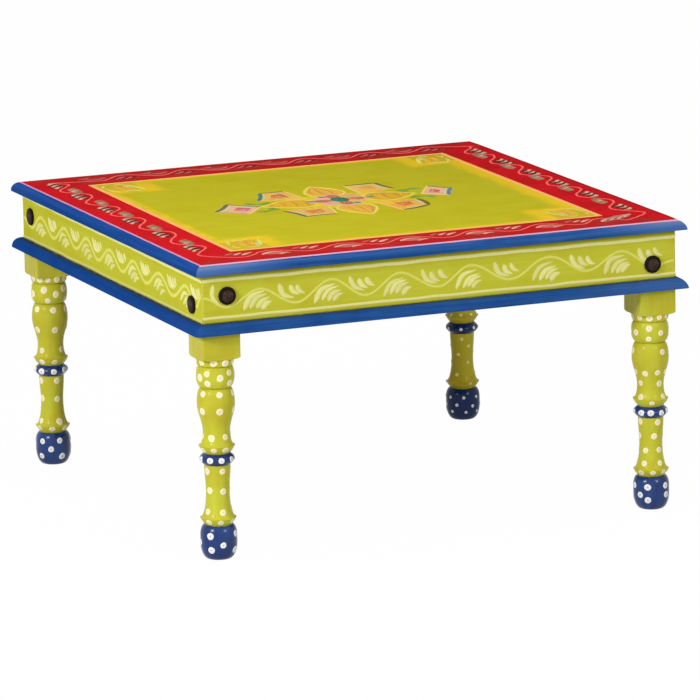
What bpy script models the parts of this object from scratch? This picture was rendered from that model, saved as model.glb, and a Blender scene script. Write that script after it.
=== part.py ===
# A low, square hand-painted table: a mitred apron box and a beaded top on four turned legs.
# Units are metres, +Z is up, and the origin is on the floor under the middle of the top.

import math

import bmesh
import bpy
from mathutils import Matrix, Vector

# Overall height, apron box and top
TABLE_HEIGHT = 0.4286  # from the floor to the top; the legs' lower columns take up what the rest leaves
APRON_SIDE = 0.733  # square plan over the outer faces of the four boards
APRON_HEIGHT = 0.0855
APRON_THICKNESS = 0.018
TOP_THICKNESS = 0.0145

# Quarter-round beads round the top and round the foot of the apron
TOP_BEAD_PROJECTION = 0.0135
TOP_BEAD_LIP = 0.0018  # square edge left under the quarter round
BASE_BEAD_PROJECTION = 0.0145
BASE_BEAD_HEIGHT = 0.0160
BASE_BEAD_LIP = 0.0020
BEAD_ARC_STEPS = 7

# Leg: square block and post, then the turned shapes from the block down to the floor
BLOCK_SIDE = 0.0565
BLOCK_HEIGHT = 0.0380
BLOCK_EDGE_ROUND = 0.0012
SHOULDER_RADIUS = 0.0310  # turned rounding of the block's lower corners
SHOULDER_HEIGHT = 0.0110
POST_HEADROOM = 0.0010  # between the top of the post and the top panel
COLLAR_HEIGHT = 0.0125
COLLAR_RADIUS = 0.0272
COLLAR_FOOT_RADIUS = 0.0262
COLLAR_COVE = 0.0035  # part of the collar's height that curls in to its neck
COLLAR_NECK_RADIUS = 0.0230
BALL_HEIGHT = 0.0315
BALL_RADIUS = 0.0271
BALL_NECK_RADIUS = 0.0203
VASE_SHOULDER_HEIGHT = 0.0225
VASE_RADIUS = 0.0270
VASE_TAPER_HEIGHT = 0.0410
VASE_WAIST_RADIUS = 0.0195
VASE_FLARE_HEIGHT = 0.0200
VASE_FLARE_RADIUS = 0.0260
VASE_SKIRT_HEIGHT = 0.0120
RING_NECK_RADIUS = 0.0211
RING_HEIGHT = 0.0195
RING_RADIUS = 0.0257
COLUMN_TOP_RADIUS = 0.0190
COLUMN_WAIST_RADIUS = 0.0171
COLUMN_FLARE_HEIGHT = 0.0375
COLUMN_FLARE_RADIUS = 0.0259
COLUMN_SKIRT_HEIGHT = 0.0130
FOOT_NECK_RADIUS = 0.0206
FOOT_SHOULDER_HEIGHT = 0.0110
FOOT_RADIUS = 0.0266
FOOT_BARREL_HEIGHT = 0.0165
FOOT_BASE_HEIGHT = 0.0200
FOOT_FLAT_RADIUS = 0.0140
LEG_SEGMENTS = 24

# Bolts that clamp the apron boards to the leg posts, two to a corner at two heights
BOLT_DIAMETER = 0.008
BOLT_MID_RISE = 0.0030  # mean height of the two bolts above the middle of the apron
BOLT_STAGGER = 0.0157  # height between the two bolts of one corner
BOLT_END = 0.003  # thread that stands past the nut
BOLT_HEAD_DIAMETER = 0.0256
BOLT_HEAD_RIM = 0.0012  # straight edge of the head's flange
BOLT_FLANGE_HEIGHT = 0.0030
BOLT_CROWN_DIAMETER = 0.0165  # raised middle of the head
BOLT_HEAD_HEIGHT = 0.0056
BOLT_SEGMENTS = 12
WASHER_DIAMETER = 0.020
WASHER_THICKNESS = 0.0016
NUT_ACROSS_FLATS = 0.013
NUT_HEIGHT = 0.0065

# Cleats inside the apron, and the wood screws that hold the top down to them
CLEAT_WIDTH = 0.020
CLEAT_HEIGHT = 0.020
CLEAT_END_GAP = 0.004  # between a cleat and the bolt end in the corner
SCREW_END_INSET = 0.060  # from the end of a cleat to its screw
SCREW_DIAMETER = 0.004
SCREW_HEAD_DIAMETER = 0.008
SCREW_HEAD_RIM = 0.0005
SCREW_HEAD_HEIGHT = 0.0026
SCREW_BITE = 0.0095  # depth of the screw in the top panel
SCREW_POINT = 0.004
SCREW_SEGMENTS = 8

# Fits
GLUE_LINE = 0.0003  # between pieces that touch
HOLE_CLEARANCE = 0.0003  # round a bolt or a screw, on the radius
CUT_OVERRUN = 0.004  # how far a cutter runs past the face it opens

# Heights and half sizes that follow
MITRE_GAP = GLUE_LINE / math.sqrt(2)
APRON_HALF = APRON_SIDE / 2
BLOCK_HALF = BLOCK_SIDE / 2
LEG_INSET = APRON_HALF - BLOCK_HALF  # from the table's centre lines to a leg's axis
BOLT_INSET = APRON_HALF - (APRON_THICKNESS + BLOCK_SIDE) / 2
FOOT_HEIGHT = FOOT_BASE_HEIGHT + FOOT_BARREL_HEIGHT + FOOT_SHOULDER_HEIGHT
COLUMN_FOOT_Z = FOOT_HEIGHT + COLUMN_SKIRT_HEIGHT
COLUMN_WAIST_Z = COLUMN_FOOT_Z + COLUMN_FLARE_HEIGHT
PANEL_FOOT_Z = TABLE_HEIGHT - TOP_THICKNESS
POST_TOP_Z = PANEL_FOOT_Z - POST_HEADROOM
APRON_TOP_Z = PANEL_FOOT_Z - GLUE_LINE
APRON_FOOT_Z = APRON_TOP_Z - APRON_HEIGHT
BLOCK_TOP_Z = APRON_FOOT_Z - GLUE_LINE
BLOCK_FOOT_Z = BLOCK_TOP_Z - BLOCK_HEIGHT
BALL_TOP_Z = BLOCK_FOOT_Z - COLLAR_HEIGHT
BALL_FOOT_Z = BALL_TOP_Z - BALL_HEIGHT
VASE_BELLY_Z = BALL_FOOT_Z - VASE_SHOULDER_HEIGHT
VASE_WAIST_Z = VASE_BELLY_Z - VASE_TAPER_HEIGHT
VASE_FLARE_Z = VASE_WAIST_Z - VASE_FLARE_HEIGHT
RING_TOP_Z = VASE_FLARE_Z - VASE_SKIRT_HEIGHT
RING_FOOT_Z = RING_TOP_Z - RING_HEIGHT
BOLT_MID_Z = APRON_FOOT_Z + APRON_HEIGHT / 2 + BOLT_MID_RISE
HIGH_BOLT_Z = BOLT_MID_Z + BOLT_STAGGER / 2
LOW_BOLT_Z = BOLT_MID_Z - BOLT_STAGGER / 2
BOLT_HOLE_RADIUS = BOLT_DIAMETER / 2 + HOLE_CLEARANCE
WASHER_SEAT = BLOCK_SIDE + GLUE_LINE  # from the apron's outer face, along the bolt
NUT_SEAT = WASHER_SEAT + WASHER_THICKNESS + GLUE_LINE
BOLT_REACH = NUT_SEAT + NUT_HEIGHT + BOLT_END
CLEAT_HALF_LENGTH = APRON_HALF - BOLT_REACH - CLEAT_END_GAP
CLEAT_FOOT_Z = PANEL_FOOT_Z - GLUE_LINE - CLEAT_HEIGHT
CLEAT_MIDDLE = APRON_HALF - APRON_THICKNESS - GLUE_LINE - CLEAT_WIDTH / 2
SCREW_INSET = CLEAT_HALF_LENGTH - SCREW_END_INSET
SCREW_LENGTH = PANEL_FOOT_Z - CLEAT_FOOT_Z + SCREW_BITE

# Each side, with the sides met at its left and right ends as seen from outside, and the leg at its left end
SIDES = (
    ("front", "left", "right", "leg_front_left"),
    ("right", "front", "back", "leg_front_right"),
    ("back", "right", "left", "leg_back_right"),
    ("left", "back", "front", "leg_back_left"),
)

# An outline drawn as (outward, up) and swept along a side, turned to lie on the front side
SECTION_TO_SIDE = Matrix(((0, 0, -1, 0), (-1, 0, 0, 0), (0, 1, 0, 0), (0, 0, 0, 1)))
# Turns an upright axis to point outward from the front side, or to run along it
OUTWARD = (math.radians(90), 0.0, 0.0)
ALONG = (0.0, math.radians(90), 0.0)


def clear_scene():
    for old in list(bpy.data.objects):
        bpy.data.objects.remove(old, do_unlink=True)


def new_collection(name):
    collection = bpy.data.collections.new(name)
    bpy.context.scene.collection.children.link(collection)
    return collection


def painted(name, colour, roughness, metallic=0.0):
    material = bpy.data.materials.new(name)
    material.use_nodes = True
    shader = material.node_tree.nodes["Principled BSDF"]
    shader.inputs["Base Color"].default_value = (*colour, 1.0)
    shader.inputs["Roughness"].default_value = roughness
    shader.inputs["Metallic"].default_value = metallic
    return material


# Profile points


def quarter(start, end, steps):
    """Quarter ellipse that leaves start square to the axis and arrives at end along it."""
    (r0, z0), (r1, z1) = start, end
    turns = [math.pi / 2 * i / steps for i in range(1, steps + 1)]
    return [(r0 + (r1 - r0) * math.sin(t), z0 + (z1 - z0) * (1 - math.cos(t))) for t in turns]


def quarter_out(start, end, steps):
    """Quarter ellipse that leaves start along the axis and arrives at end square to it."""
    back = quarter(end, start, steps)
    return back[-2::-1] + [end]


def sway(start, end, steps):
    """S-curve that is along the axis at both ends."""
    (r0, z0), (r1, z1) = start, end
    shares = [i / steps for i in range(1, steps + 1)]
    return [(r0 + (r1 - r0) * (1 - math.cos(math.pi * s)) / 2, z0 + (z1 - z0) * s) for s in shares]


def leg_profile():
    """(radius, height) points of the turned leg, from inside the block down to the floor."""
    collar_foot = (COLLAR_FOOT_RADIUS, BALL_TOP_Z + COLLAR_COVE)
    collar_neck = (COLLAR_NECK_RADIUS, BALL_TOP_Z)
    ball_belly = (BALL_RADIUS, BALL_FOOT_Z + BALL_HEIGHT / 2)
    ball_neck = (BALL_NECK_RADIUS, BALL_FOOT_Z)
    vase_belly = (VASE_RADIUS, VASE_BELLY_Z)
    vase_waist = (VASE_WAIST_RADIUS, VASE_WAIST_Z)
    vase_flare = (VASE_FLARE_RADIUS, VASE_FLARE_Z)
    ring_neck = (RING_NECK_RADIUS, RING_TOP_Z)
    ring_belly = (RING_RADIUS, RING_FOOT_Z + RING_HEIGHT / 2)
    column_top = (COLUMN_TOP_RADIUS, RING_FOOT_Z)
    column_waist = (COLUMN_WAIST_RADIUS, COLUMN_WAIST_Z)
    column_flare = (COLUMN_FLARE_RADIUS, COLUMN_FOOT_Z)
    foot_neck = (FOOT_NECK_RADIUS, FOOT_HEIGHT)
    foot_top = (FOOT_RADIUS, FOOT_BASE_HEIGHT + FOOT_BARREL_HEIGHT)
    foot_low = (FOOT_RADIUS, FOOT_BASE_HEIGHT)
    points = [(0.0, BLOCK_TOP_Z - BLOCK_HEIGHT / 2), (COLLAR_RADIUS, BLOCK_TOP_Z - BLOCK_HEIGHT / 2)]
    points += [(COLLAR_RADIUS, BLOCK_FOOT_Z), collar_foot]
    points += quarter_out(collar_foot, collar_neck, 2)
    points += quarter(collar_neck, ball_belly, 3) + quarter_out(ball_belly, ball_neck, 3)
    points += quarter(ball_neck, vase_belly, 3) + sway(vase_belly, vase_waist, 4)
    points += quarter_out(vase_waist, vase_flare, 3) + [ring_neck]
    points += quarter(ring_neck, ring_belly, 3) + quarter_out(ring_belly, column_top, 3)
    points += sway(column_top, column_waist, 2) + quarter_out(column_waist, column_flare, 4)
    points += [foot_neck] + quarter(foot_neck, foot_top, 2) + [foot_low]
    points += quarter_out(foot_low, (FOOT_FLAT_RADIUS, 0.0), 3) + [(0.0, 0.0)]
    return points


def bead_outline(projection, height, lip):
    """(outward, up) outline of a quarter-round bead, from the back of its foot round to its back again."""
    back = GLUE_LINE
    turns = [math.pi / 2 * i / BEAD_ARC_STEPS for i in range(BEAD_ARC_STEPS + 1)]
    arc = [(back + (projection - back) * math.cos(t), lip + (height - lip) * math.sin(t)) for t in turns]
    return [(back, 0.0), (projection, 0.0)] + arc


def bolt_profile():
    """(radius, height) points of a bolt with a stepped, domed head, head up and seated at height 0."""
    rim = BOLT_HEAD_DIAMETER / 2
    shank = BOLT_DIAMETER / 2
    chamfer = shank / 4
    summit = (0.0, BOLT_HEAD_HEIGHT)
    crown_foot = (BOLT_CROWN_DIAMETER / 2, BOLT_FLANGE_HEIGHT)
    points = [summit] + quarter(summit, crown_foot, 3)
    points += quarter(crown_foot, (rim, BOLT_HEAD_RIM), 2)
    points += [(rim, 0.0), (shank, 0.0), (shank, chamfer - BOLT_REACH)]
    return points + [(shank - chamfer, -BOLT_REACH), (0.0, -BOLT_REACH)]


def screw_profile(grow=0.0, below=0.0):
    """(radius, height) points of a countersunk wood screw, point up, with its head at height 0."""
    head = SCREW_HEAD_DIAMETER / 2 + grow
    shank = SCREW_DIAMETER / 2 + grow
    tip = SCREW_LENGTH + grow
    points = [(0.0, tip), (shank, tip - SCREW_POINT), (shank, SCREW_HEAD_HEIGHT + grow)]
    return points + [(head, SCREW_HEAD_RIM + grow), (head, -below), (0.0, -below)]


def rod_profile(radius, half_length):
    return [(0.0, half_length), (radius, half_length), (radius, -half_length), (0.0, -half_length)]


# Meshes


def evaluated_mesh(obj):
    """The mesh of an object with its modifiers applied. The object itself is removed."""
    bpy.context.view_layer.update()
    graph = bpy.context.evaluated_depsgraph_get()
    mesh = bpy.data.meshes.new_from_object(obj.evaluated_get(graph))
    bpy.data.objects.remove(obj, do_unlink=True)
    return mesh


def tidy_mesh(mesh):
    """Welds the seams of a mesh and turns its faces outward."""
    work = bmesh.new()
    work.from_mesh(mesh)
    bmesh.ops.remove_doubles(work, verts=work.verts, dist=1e-6)
    bmesh.ops.recalc_face_normals(work, faces=work.faces)
    work.to_mesh(mesh)
    work.free()
    return mesh


def outline_mesh(outlines, thickness):
    """A flat shape, with any inner outlines as holes, drawn in X and Y and as thick as given along Z."""
    curve = bpy.data.curves.new("outline", "CURVE")
    curve.dimensions = "2D"
    curve.fill_mode = "BOTH"
    curve.extrude = thickness / 2
    for outline in outlines:
        spline = curve.splines.new("POLY")
        spline.points.add(len(outline) - 1)
        spline.use_cyclic_u = True
        for point, (x, y) in zip(spline.points, outline):
            point.co = (x, y, 0.0, 1.0)
    guide = bpy.data.objects.new("outline", curve)
    cutters.objects.link(guide)
    return tidy_mesh(evaluated_mesh(guide))


def turned_mesh(profile, segments):
    """A profile of (radius, height) points, from top to bottom, turned round Z."""
    mesh = bpy.data.meshes.new("profile")
    edges = [(i, i + 1) for i in range(len(profile) - 1)]
    mesh.from_pydata([(r, 0.0, z) for r, z in profile], edges, [])
    guide = bpy.data.objects.new("profile", mesh)
    cutters.objects.link(guide)
    turn = guide.modifiers.new("Turn", "SCREW")
    turn.steps = segments
    turn.render_steps = segments
    turn.use_merge_vertices = True
    turn.merge_threshold = 1e-5
    return tidy_mesh(evaluated_mesh(guide))


def box_mesh(width, depth, height, edge_round=0.0):
    """A box standing on the origin, with its upright edges rounded."""
    work = bmesh.new()
    bmesh.ops.create_cube(work, size=1.0)
    bmesh.ops.scale(work, vec=(width, depth, height), verts=work.verts)
    bmesh.ops.translate(work, vec=(0.0, 0.0, height / 2), verts=work.verts)
    if edge_round:
        upright = [e for e in work.edges if abs(e.verts[0].co.z - e.verts[1].co.z) > height / 2]
        bmesh.ops.bevel(work, geom=upright, offset=edge_round, segments=2, profile=0.5, affect="EDGES")
    mesh = bpy.data.meshes.new("box")
    work.to_mesh(mesh)
    work.free()
    return mesh


def mitred_mesh(outline):
    """An (outward, up) outline swept along the front side and mitred at both corners of the plan."""
    mesh = outline_mesh([outline], APRON_SIDE)
    for vertex in mesh.vertices:
        end = math.copysign(1.0, vertex.co.z)
        vertex.co.z += end * (vertex.co.x - MITRE_GAP)
    mesh.transform(SECTION_TO_SIDE)
    return mesh


def circle(radius, count):
    turns = [2 * math.pi * i / count for i in range(count)]
    return [(radius * math.cos(t), radius * math.sin(t)) for t in turns]


# Boolean work


def cutter(name, mesh, location=(0.0, 0.0, 0.0), rotation=(0.0, 0.0, 0.0)):
    obj = bpy.data.objects.new(name, mesh)
    obj.location = location
    obj.rotation_euler = rotation
    obj.hide_render = True
    obj.display_type = "WIRE"
    cutters.objects.link(obj)
    return obj


def combined(mesh, steps):
    """The mesh after a list of (operation, tool object) Booleans."""
    base = bpy.data.objects.new("blank", mesh)
    cutters.objects.link(base)
    for operation, tool in steps:
        boolean = base.modifiers.new(tool.name, "BOOLEAN")
        boolean.operation = operation
        boolean.object = tool
    return evaluated_mesh(base)


# Sub-parts, each drawn for the front side or for its left corner


def apron_mesh():
    board = [(-APRON_THICKNESS, 0.0), (0.0, 0.0), (0.0, APRON_HEIGHT), (-APRON_THICKNESS, APRON_HEIGHT)]
    drill = turned_mesh(rod_profile(BOLT_HOLE_RADIUS, APRON_THICKNESS / 2 + CUT_OVERRUN), BOLT_SEGMENTS)
    middle = APRON_THICKNESS / 2
    steps = []
    for end, height in ((-1, HIGH_BOLT_Z), (1, LOW_BOLT_Z)):
        place = (end * BOLT_INSET, middle, height - APRON_FOOT_Z)
        steps.append(("DIFFERENCE", cutter("apron_bolt_hole", drill, place, OUTWARD)))
    return combined(mitred_mesh(board), steps)


def shoulder_profile():
    """Turned envelope of the block: wide above, drawn in at the block's lower corners."""
    wide = BLOCK_HALF * math.sqrt(2) + CUT_OVERRUN
    low = BLOCK_FOOT_Z - GLUE_LINE
    top = POST_TOP_Z + CUT_OVERRUN
    edge = (wide, BLOCK_FOOT_Z + SHOULDER_HEIGHT)
    points = [(0.0, top), (wide, top), edge] + quarter_out(edge, (SHOULDER_RADIUS, low), 4)
    return points + [(SHOULDER_RADIUS, low - CUT_OVERRUN), (0.0, low - CUT_OVERRUN)]


def leg_mesh():
    blank = box_mesh(BLOCK_SIDE, BLOCK_SIDE, POST_TOP_Z - BLOCK_FOOT_Z, BLOCK_EDGE_ROUND)
    blank.transform(Matrix.Translation((0.0, 0.0, BLOCK_FOOT_Z)))
    outer = BLOCK_HALF + CUT_OVERRUN
    inner = BLOCK_HALF - APRON_THICKNESS - GLUE_LINE
    corner = [(-outer, -outer), (outer, -outer), (outer, -inner)]
    corner += [(-inner, -inner), (-inner, outer), (-outer, outer)]
    notch_height = POST_TOP_Z - BLOCK_TOP_Z + CUT_OVERRUN
    notch_place = (0.0, 0.0, BLOCK_TOP_Z + notch_height / 2)
    notch = cutter("post_notch", outline_mesh([corner], notch_height), notch_place)
    drill = turned_mesh(rod_profile(BOLT_HOLE_RADIUS, BLOCK_SIDE), BOLT_SEGMENTS)
    post_middle = LEG_INSET - BOLT_INSET
    return combined(blank, (
        ("INTERSECT", cutter("block_shoulder", turned_mesh(shoulder_profile(), 2 * LEG_SEGMENTS))),
        ("DIFFERENCE", notch),
        ("UNION", cutter("leg_turning", turned_mesh(leg_profile(), LEG_SEGMENTS))),
        ("DIFFERENCE", cutter("high_bolt_hole", drill, (post_middle, 0.0, HIGH_BOLT_Z), OUTWARD)),
        ("DIFFERENCE", cutter("low_bolt_hole", drill, (0.0, post_middle, LOW_BOLT_Z), ALONG)),
    ))


def screw_places():
    return [(end * SCREW_INSET, -CLEAT_MIDDLE, CLEAT_FOOT_Z) for end in (-1, 1)]


def cleat_mesh(drill):
    blank = box_mesh(2 * CLEAT_HALF_LENGTH, CLEAT_WIDTH, CLEAT_HEIGHT)
    drills = [cutter("cleat_screw_hole", drill, (x, 0.0, 0.0)) for x, _, _ in screw_places()]
    return combined(blank, [("DIFFERENCE", tool) for tool in drills])


def panel_mesh(drill):
    blank = box_mesh(APRON_SIDE, APRON_SIDE, TOP_THICKNESS)
    steps = []
    for turn in range(len(SIDES)):
        spin = Matrix.Rotation(turn * math.pi / 2, 3, "Z")
        for place in screw_places():
            x, y, z = spin @ Vector(place)
            steps.append(("DIFFERENCE", cutter("panel_screw_hole", drill, (x, y, z - PANEL_FOOT_Z))))
    return combined(blank, steps)


def nut_outlines():
    corner_radius = NUT_ACROSS_FLATS / math.sqrt(3)
    return [circle(corner_radius, 6), circle(BOLT_HOLE_RADIUS, BOLT_SEGMENTS)]


def washer_outlines():
    return [circle(WASHER_DIAMETER / 2, BOLT_SEGMENTS), circle(BOLT_HOLE_RADIUS, BOLT_SEGMENTS)]


# Assembly


def dressed(mesh, material):
    """The mesh with its one material, smooth except at real edges."""
    mesh.materials.clear()
    mesh.materials.append(material)
    mesh.shade_smooth()
    mesh.set_sharp_from_angle(angle=math.radians(35))
    return mesh


def node(name, mesh, location, parent=None, rotation=(0.0, 0.0, 0.0)):
    obj = bpy.data.objects.new(name, mesh)
    obj.location = location
    obj.rotation_euler = rotation
    obj.parent = parent
    table.objects.link(obj)
    return obj


clear_scene()
table = new_collection("painted_table")
cutters = new_collection("cutters")

lime = painted("lime_paint", (0.50, 0.53, 0.027), 0.55)
gold = painted("gold_paint", (0.51, 0.46, 0.027), 0.5)
blue = painted("blue_paint", (0.013, 0.071, 0.30), 0.5)
iron = painted("dark_iron", (0.032, 0.018, 0.013), 0.5, 0.7)
steel = painted("plated_steel", (0.55, 0.55, 0.52), 0.35, 1.0)
raw_wood = painted("raw_wood", (0.42, 0.26, 0.13), 0.75)

screw_drill = turned_mesh(screw_profile(HOLE_CLEARANCE, CUT_OVERRUN), SCREW_SEGMENTS)
top_bead = dressed(mitred_mesh(bead_outline(TOP_BEAD_PROJECTION, TOP_THICKNESS, TOP_BEAD_LIP)), blue)
base_bead = dressed(mitred_mesh(bead_outline(BASE_BEAD_PROJECTION, BASE_BEAD_HEIGHT, BASE_BEAD_LIP)), blue)
apron = dressed(apron_mesh(), lime)
leg = dressed(leg_mesh(), lime)
cleat = dressed(cleat_mesh(screw_drill), raw_wood)
bolt = dressed(turned_mesh(bolt_profile(), BOLT_SEGMENTS), iron)
washer = dressed(outline_mesh(washer_outlines(), WASHER_THICKNESS), steel)
nut = dressed(outline_mesh(nut_outlines(), NUT_HEIGHT), steel)
screw = dressed(turned_mesh(screw_profile(), SCREW_SEGMENTS), steel)

node("top_panel", dressed(panel_mesh(screw_drill), gold), (0.0, 0.0, PANEL_FOOT_Z))

for turn, (side, left, right, leg_name) in enumerate(SIDES):
    frame = bpy.data.objects.new("side_" + side, None)
    frame.rotation_euler.z = turn * math.pi / 2
    table.objects.link(frame)
    node("apron_" + side, apron, (0.0, -APRON_HALF, APRON_FOOT_Z), frame)
    node("top_bead_" + side, top_bead, (0.0, -APRON_HALF, PANEL_FOOT_Z), frame)
    node("base_bead_" + side, base_bead, (0.0, -APRON_HALF, APRON_FOOT_Z), frame)
    node("cleat_" + side, cleat, (0.0, -CLEAT_MIDDLE, CLEAT_FOOT_Z), frame)
    node(leg_name, leg, (-LEG_INSET, -LEG_INSET, 0.0), frame)
    for place, end in zip(screw_places(), (left, right)):
        node("screw_" + side + "_" + end, screw, place, frame)
    for x, z, end in ((-BOLT_INSET, HIGH_BOLT_Z, left), (BOLT_INSET, LOW_BOLT_Z, right)):
        label = side + "_" + end
        seats = (
            ("bolt_", bolt, -GLUE_LINE),
            ("washer_", washer, WASHER_SEAT + WASHER_THICKNESS / 2),
            ("nut_", nut, NUT_SEAT + NUT_HEIGHT / 2),
        )
        for kind, mesh, depth in seats:
            node(kind + label, mesh, (x, depth - APRON_HALF, z), frame, OUTWARD)
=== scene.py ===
import math
import random

import bmesh
import bpy
from mathutils import Matrix, Vector, noise


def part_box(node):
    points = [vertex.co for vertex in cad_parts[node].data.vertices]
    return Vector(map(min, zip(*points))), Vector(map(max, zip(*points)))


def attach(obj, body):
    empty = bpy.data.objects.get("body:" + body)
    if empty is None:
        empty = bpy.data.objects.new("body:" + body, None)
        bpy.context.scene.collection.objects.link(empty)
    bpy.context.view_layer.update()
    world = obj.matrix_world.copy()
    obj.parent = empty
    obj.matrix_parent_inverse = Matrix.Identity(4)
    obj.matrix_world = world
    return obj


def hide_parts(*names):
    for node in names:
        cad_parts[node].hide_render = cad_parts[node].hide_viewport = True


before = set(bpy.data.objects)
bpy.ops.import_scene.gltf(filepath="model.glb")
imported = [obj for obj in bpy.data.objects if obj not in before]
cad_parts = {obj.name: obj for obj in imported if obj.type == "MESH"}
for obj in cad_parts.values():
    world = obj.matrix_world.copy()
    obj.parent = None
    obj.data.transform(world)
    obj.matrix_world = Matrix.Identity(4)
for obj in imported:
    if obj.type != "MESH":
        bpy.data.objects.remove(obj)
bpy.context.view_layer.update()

# sizes read from the frame, in metres
panelLow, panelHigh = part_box("top_panel")
apronLow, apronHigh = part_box("apron_front")
baseBeadLow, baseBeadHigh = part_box("base_bead_front")
topBeadLow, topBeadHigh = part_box("top_bead_front")
legLow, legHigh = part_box("leg_front_left")
boltLow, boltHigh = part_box("bolt_front_left")
half = panelHigh.x  # outer faces of the apron and edges of the panel
topZ = panelHigh.z
glueLine = 0.0003
sideNames = ("front", "right", "back", "left")  # each a quarter turn from the one before
legNames = ("leg_front_left", "leg_front_right", "leg_back_right", "leg_back_left")
hand = random.Random(11)  # the painter's unsteady hand
print("frame read:", len(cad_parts), "nodes, half side", round(half, 4), "top", round(topZ, 4))


def srgb(red, green, blue):  # a paint colour as seen, 0 to 255, made linear
    linear = []
    for level in (red, green, blue):
        share = level / 255
        linear.append(share / 12.92 if share <= 0.04045 else ((share + 0.055) / 1.055) ** 2.4)
    return (*linear, 1.0)


paints = {
    "lime": srgb(193, 192, 52),
    "limePale": srgb(208, 208, 80),
    "limeDeep": srgb(182, 160, 30),
    "paled": srgb(226, 214, 168),
    "field": srgb(186, 178, 36),
    "fieldPale": srgb(196, 190, 66),
    "fieldDeep": srgb(176, 162, 24),
    "red": srgb(202, 26, 34),
    "redPale": srgb(216, 42, 50),
    "redDeep": srgb(160, 30, 28),
    "wine": srgb(112, 22, 46),
    "umber": srgb(100, 44, 38),
    "golden": srgb(231, 191, 42),
    "blue": srgb(29, 75, 137),
    "bluePale": srgb(82, 116, 174),
    "blueWornAndLit": srgb(120, 128, 158),
    "blueRich": srgb(10, 58, 136),
    "blueDeep": srgb(14, 50, 110),
    "navy": srgb(25, 53, 110),
    "navyPale": srgb(46, 88, 160),
    "navyDeep": srgb(8, 22, 62),
    "cream": srgb(238, 232, 156),
    "milk": srgb(230, 226, 146),
    "dullCream": srgb(212, 206, 118),
    "ivory": srgb(246, 236, 192),
    "dimple": srgb(214, 190, 128),
    "white": srgb(240, 239, 238),
    "blush": srgb(214, 166, 192),
    "lilac": srgb(200, 146, 184),
    "peach": srgb(250, 178, 120),
    "rose": srgb(244, 118, 108),
    "ash": srgb(172, 134, 112),
    "olive": srgb(136, 108, 78),
    "soot": srgb(66, 52, 38),
    "bone": srgb(214, 170, 146),
    "straw": srgb(224, 212, 110),
    "palm": srgb(226, 223, 112),
    "dusk": srgb(162, 62, 56),
    "petalDust": srgb(190, 106, 96),
    "mauve": srgb(226, 168, 150),
    "amber": srgb(220, 166, 72),
    "tan": srgb(218, 170, 96),
    "yellow": srgb(232, 214, 58),
    "sun": srgb(210, 192, 50),
    "coral": srgb(204, 106, 70),
    "clay": srgb(204, 128, 66),
    "shell": srgb(224, 170, 146),
    "pink": srgb(202, 104, 106),
    "teal": srgb(40, 122, 100),
    "pine": srgb(80, 102, 52),
    "bark": srgb(130, 120, 52),
    "brick": srgb(172, 88, 64),
    "leaf": srgb(92, 150, 76),
    "fern": srgb(130, 158, 60),
    "sky": srgb(62, 128, 150),
    "ochre": srgb(206, 162, 50),
    "mint": srgb(190, 208, 160),
    "grimeAndShade": srgb(60, 62, 34),
}


# shader helpers

def addNode(tree, kind, **settings):
    node = tree.nodes.new(kind)
    for name, value in settings.items():
        setattr(node, name, value)
    return node


def isSocket(value):
    return isinstance(value, bpy.types.NodeSocket)


def treeOf(*values):  # the node tree that the first socket among these is in
    return next(value.id_data for value in values if isSocket(value))


def feed(socket, value):  # links a socket, or sets its default
    if isSocket(value):
        socket.id_data.links.new(value, socket)
    else:
        socket.default_value = value


def calc(operation, first, second=0.0, clamp=False):
    node = addNode(treeOf(first, second), "ShaderNodeMath", operation=operation, use_clamp=clamp)
    feed(node.inputs[0], first)
    feed(node.inputs[1], second)
    return node.outputs[0]


def plus(first, second, clamp=False):
    return calc("ADD", first, second, clamp)


def minus(first, second):
    return calc("SUBTRACT", first, second)


def times(first, second):
    return calc("MULTIPLY", first, second)


def larger(first, second):
    return calc("MAXIMUM", first, second)


def smaller(first, second):
    return calc("MINIMUM", first, second)


def unsigned(value):
    return calc("ABSOLUTE", value)


def remap(value, low, high, newLow=0.0, newHigh=1.0, smooth=False):
    node = addNode(treeOf(value), "ShaderNodeMapRange")
    node.interpolation_type = "SMOOTHSTEP" if smooth else "LINEAR"
    for socket, number in zip(node.inputs, (value, low, high, newLow, newHigh)):
        feed(socket, number)
    return node.outputs[0]


def mixColour(share, first, second):
    node = addNode(treeOf(share, first, second), "ShaderNodeMix", data_type="RGBA")
    feed(node.inputs["Factor"], share)
    feed(node.inputs[6], first)
    feed(node.inputs[7], second)
    return node.outputs[2]


def mixValue(share, first, second):
    node = addNode(treeOf(share), "ShaderNodeMix", data_type="FLOAT")
    for place, value in ((0, share), (2, first), (3, second)):
        feed(node.inputs[place], value)
    return node.outputs[0]


def noiseAt(vector, scale, detail=3.0, roughness=0.55):
    node = addNode(treeOf(vector), "ShaderNodeTexNoise")
    node.inputs["Scale"].default_value = scale
    node.inputs["Detail"].default_value = detail
    node.inputs["Roughness"].default_value = roughness
    feed(node.inputs["Vector"], vector)
    return node.outputs[0]


def stretched(vector, stretch):
    node = addNode(treeOf(vector), "ShaderNodeVectorMath", operation="MULTIPLY")
    feed(node.inputs[0], vector)
    feed(node.inputs[1], stretch)
    return node.outputs[0]


def partsOf(vector):
    node = addNode(treeOf(vector), "ShaderNodeSeparateXYZ")
    feed(node.inputs[0], vector)
    return node.outputs


def startGroup(name, takes, gives):  # takes and gives hold the socket names of each kind
    tree = bpy.data.node_groups.new(name, "ShaderNodeTree")
    for way, sockets in (("INPUT", takes), ("OUTPUT", gives)):
        for kind, labels in sockets.items():
            for label in labels:
                tree.interface.new_socket(label, in_out=way, socket_type="NodeSocket" + kind)
    return tree, addNode(tree, "NodeGroupInput").outputs, addNode(tree, "NodeGroupOutput").inputs


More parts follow.
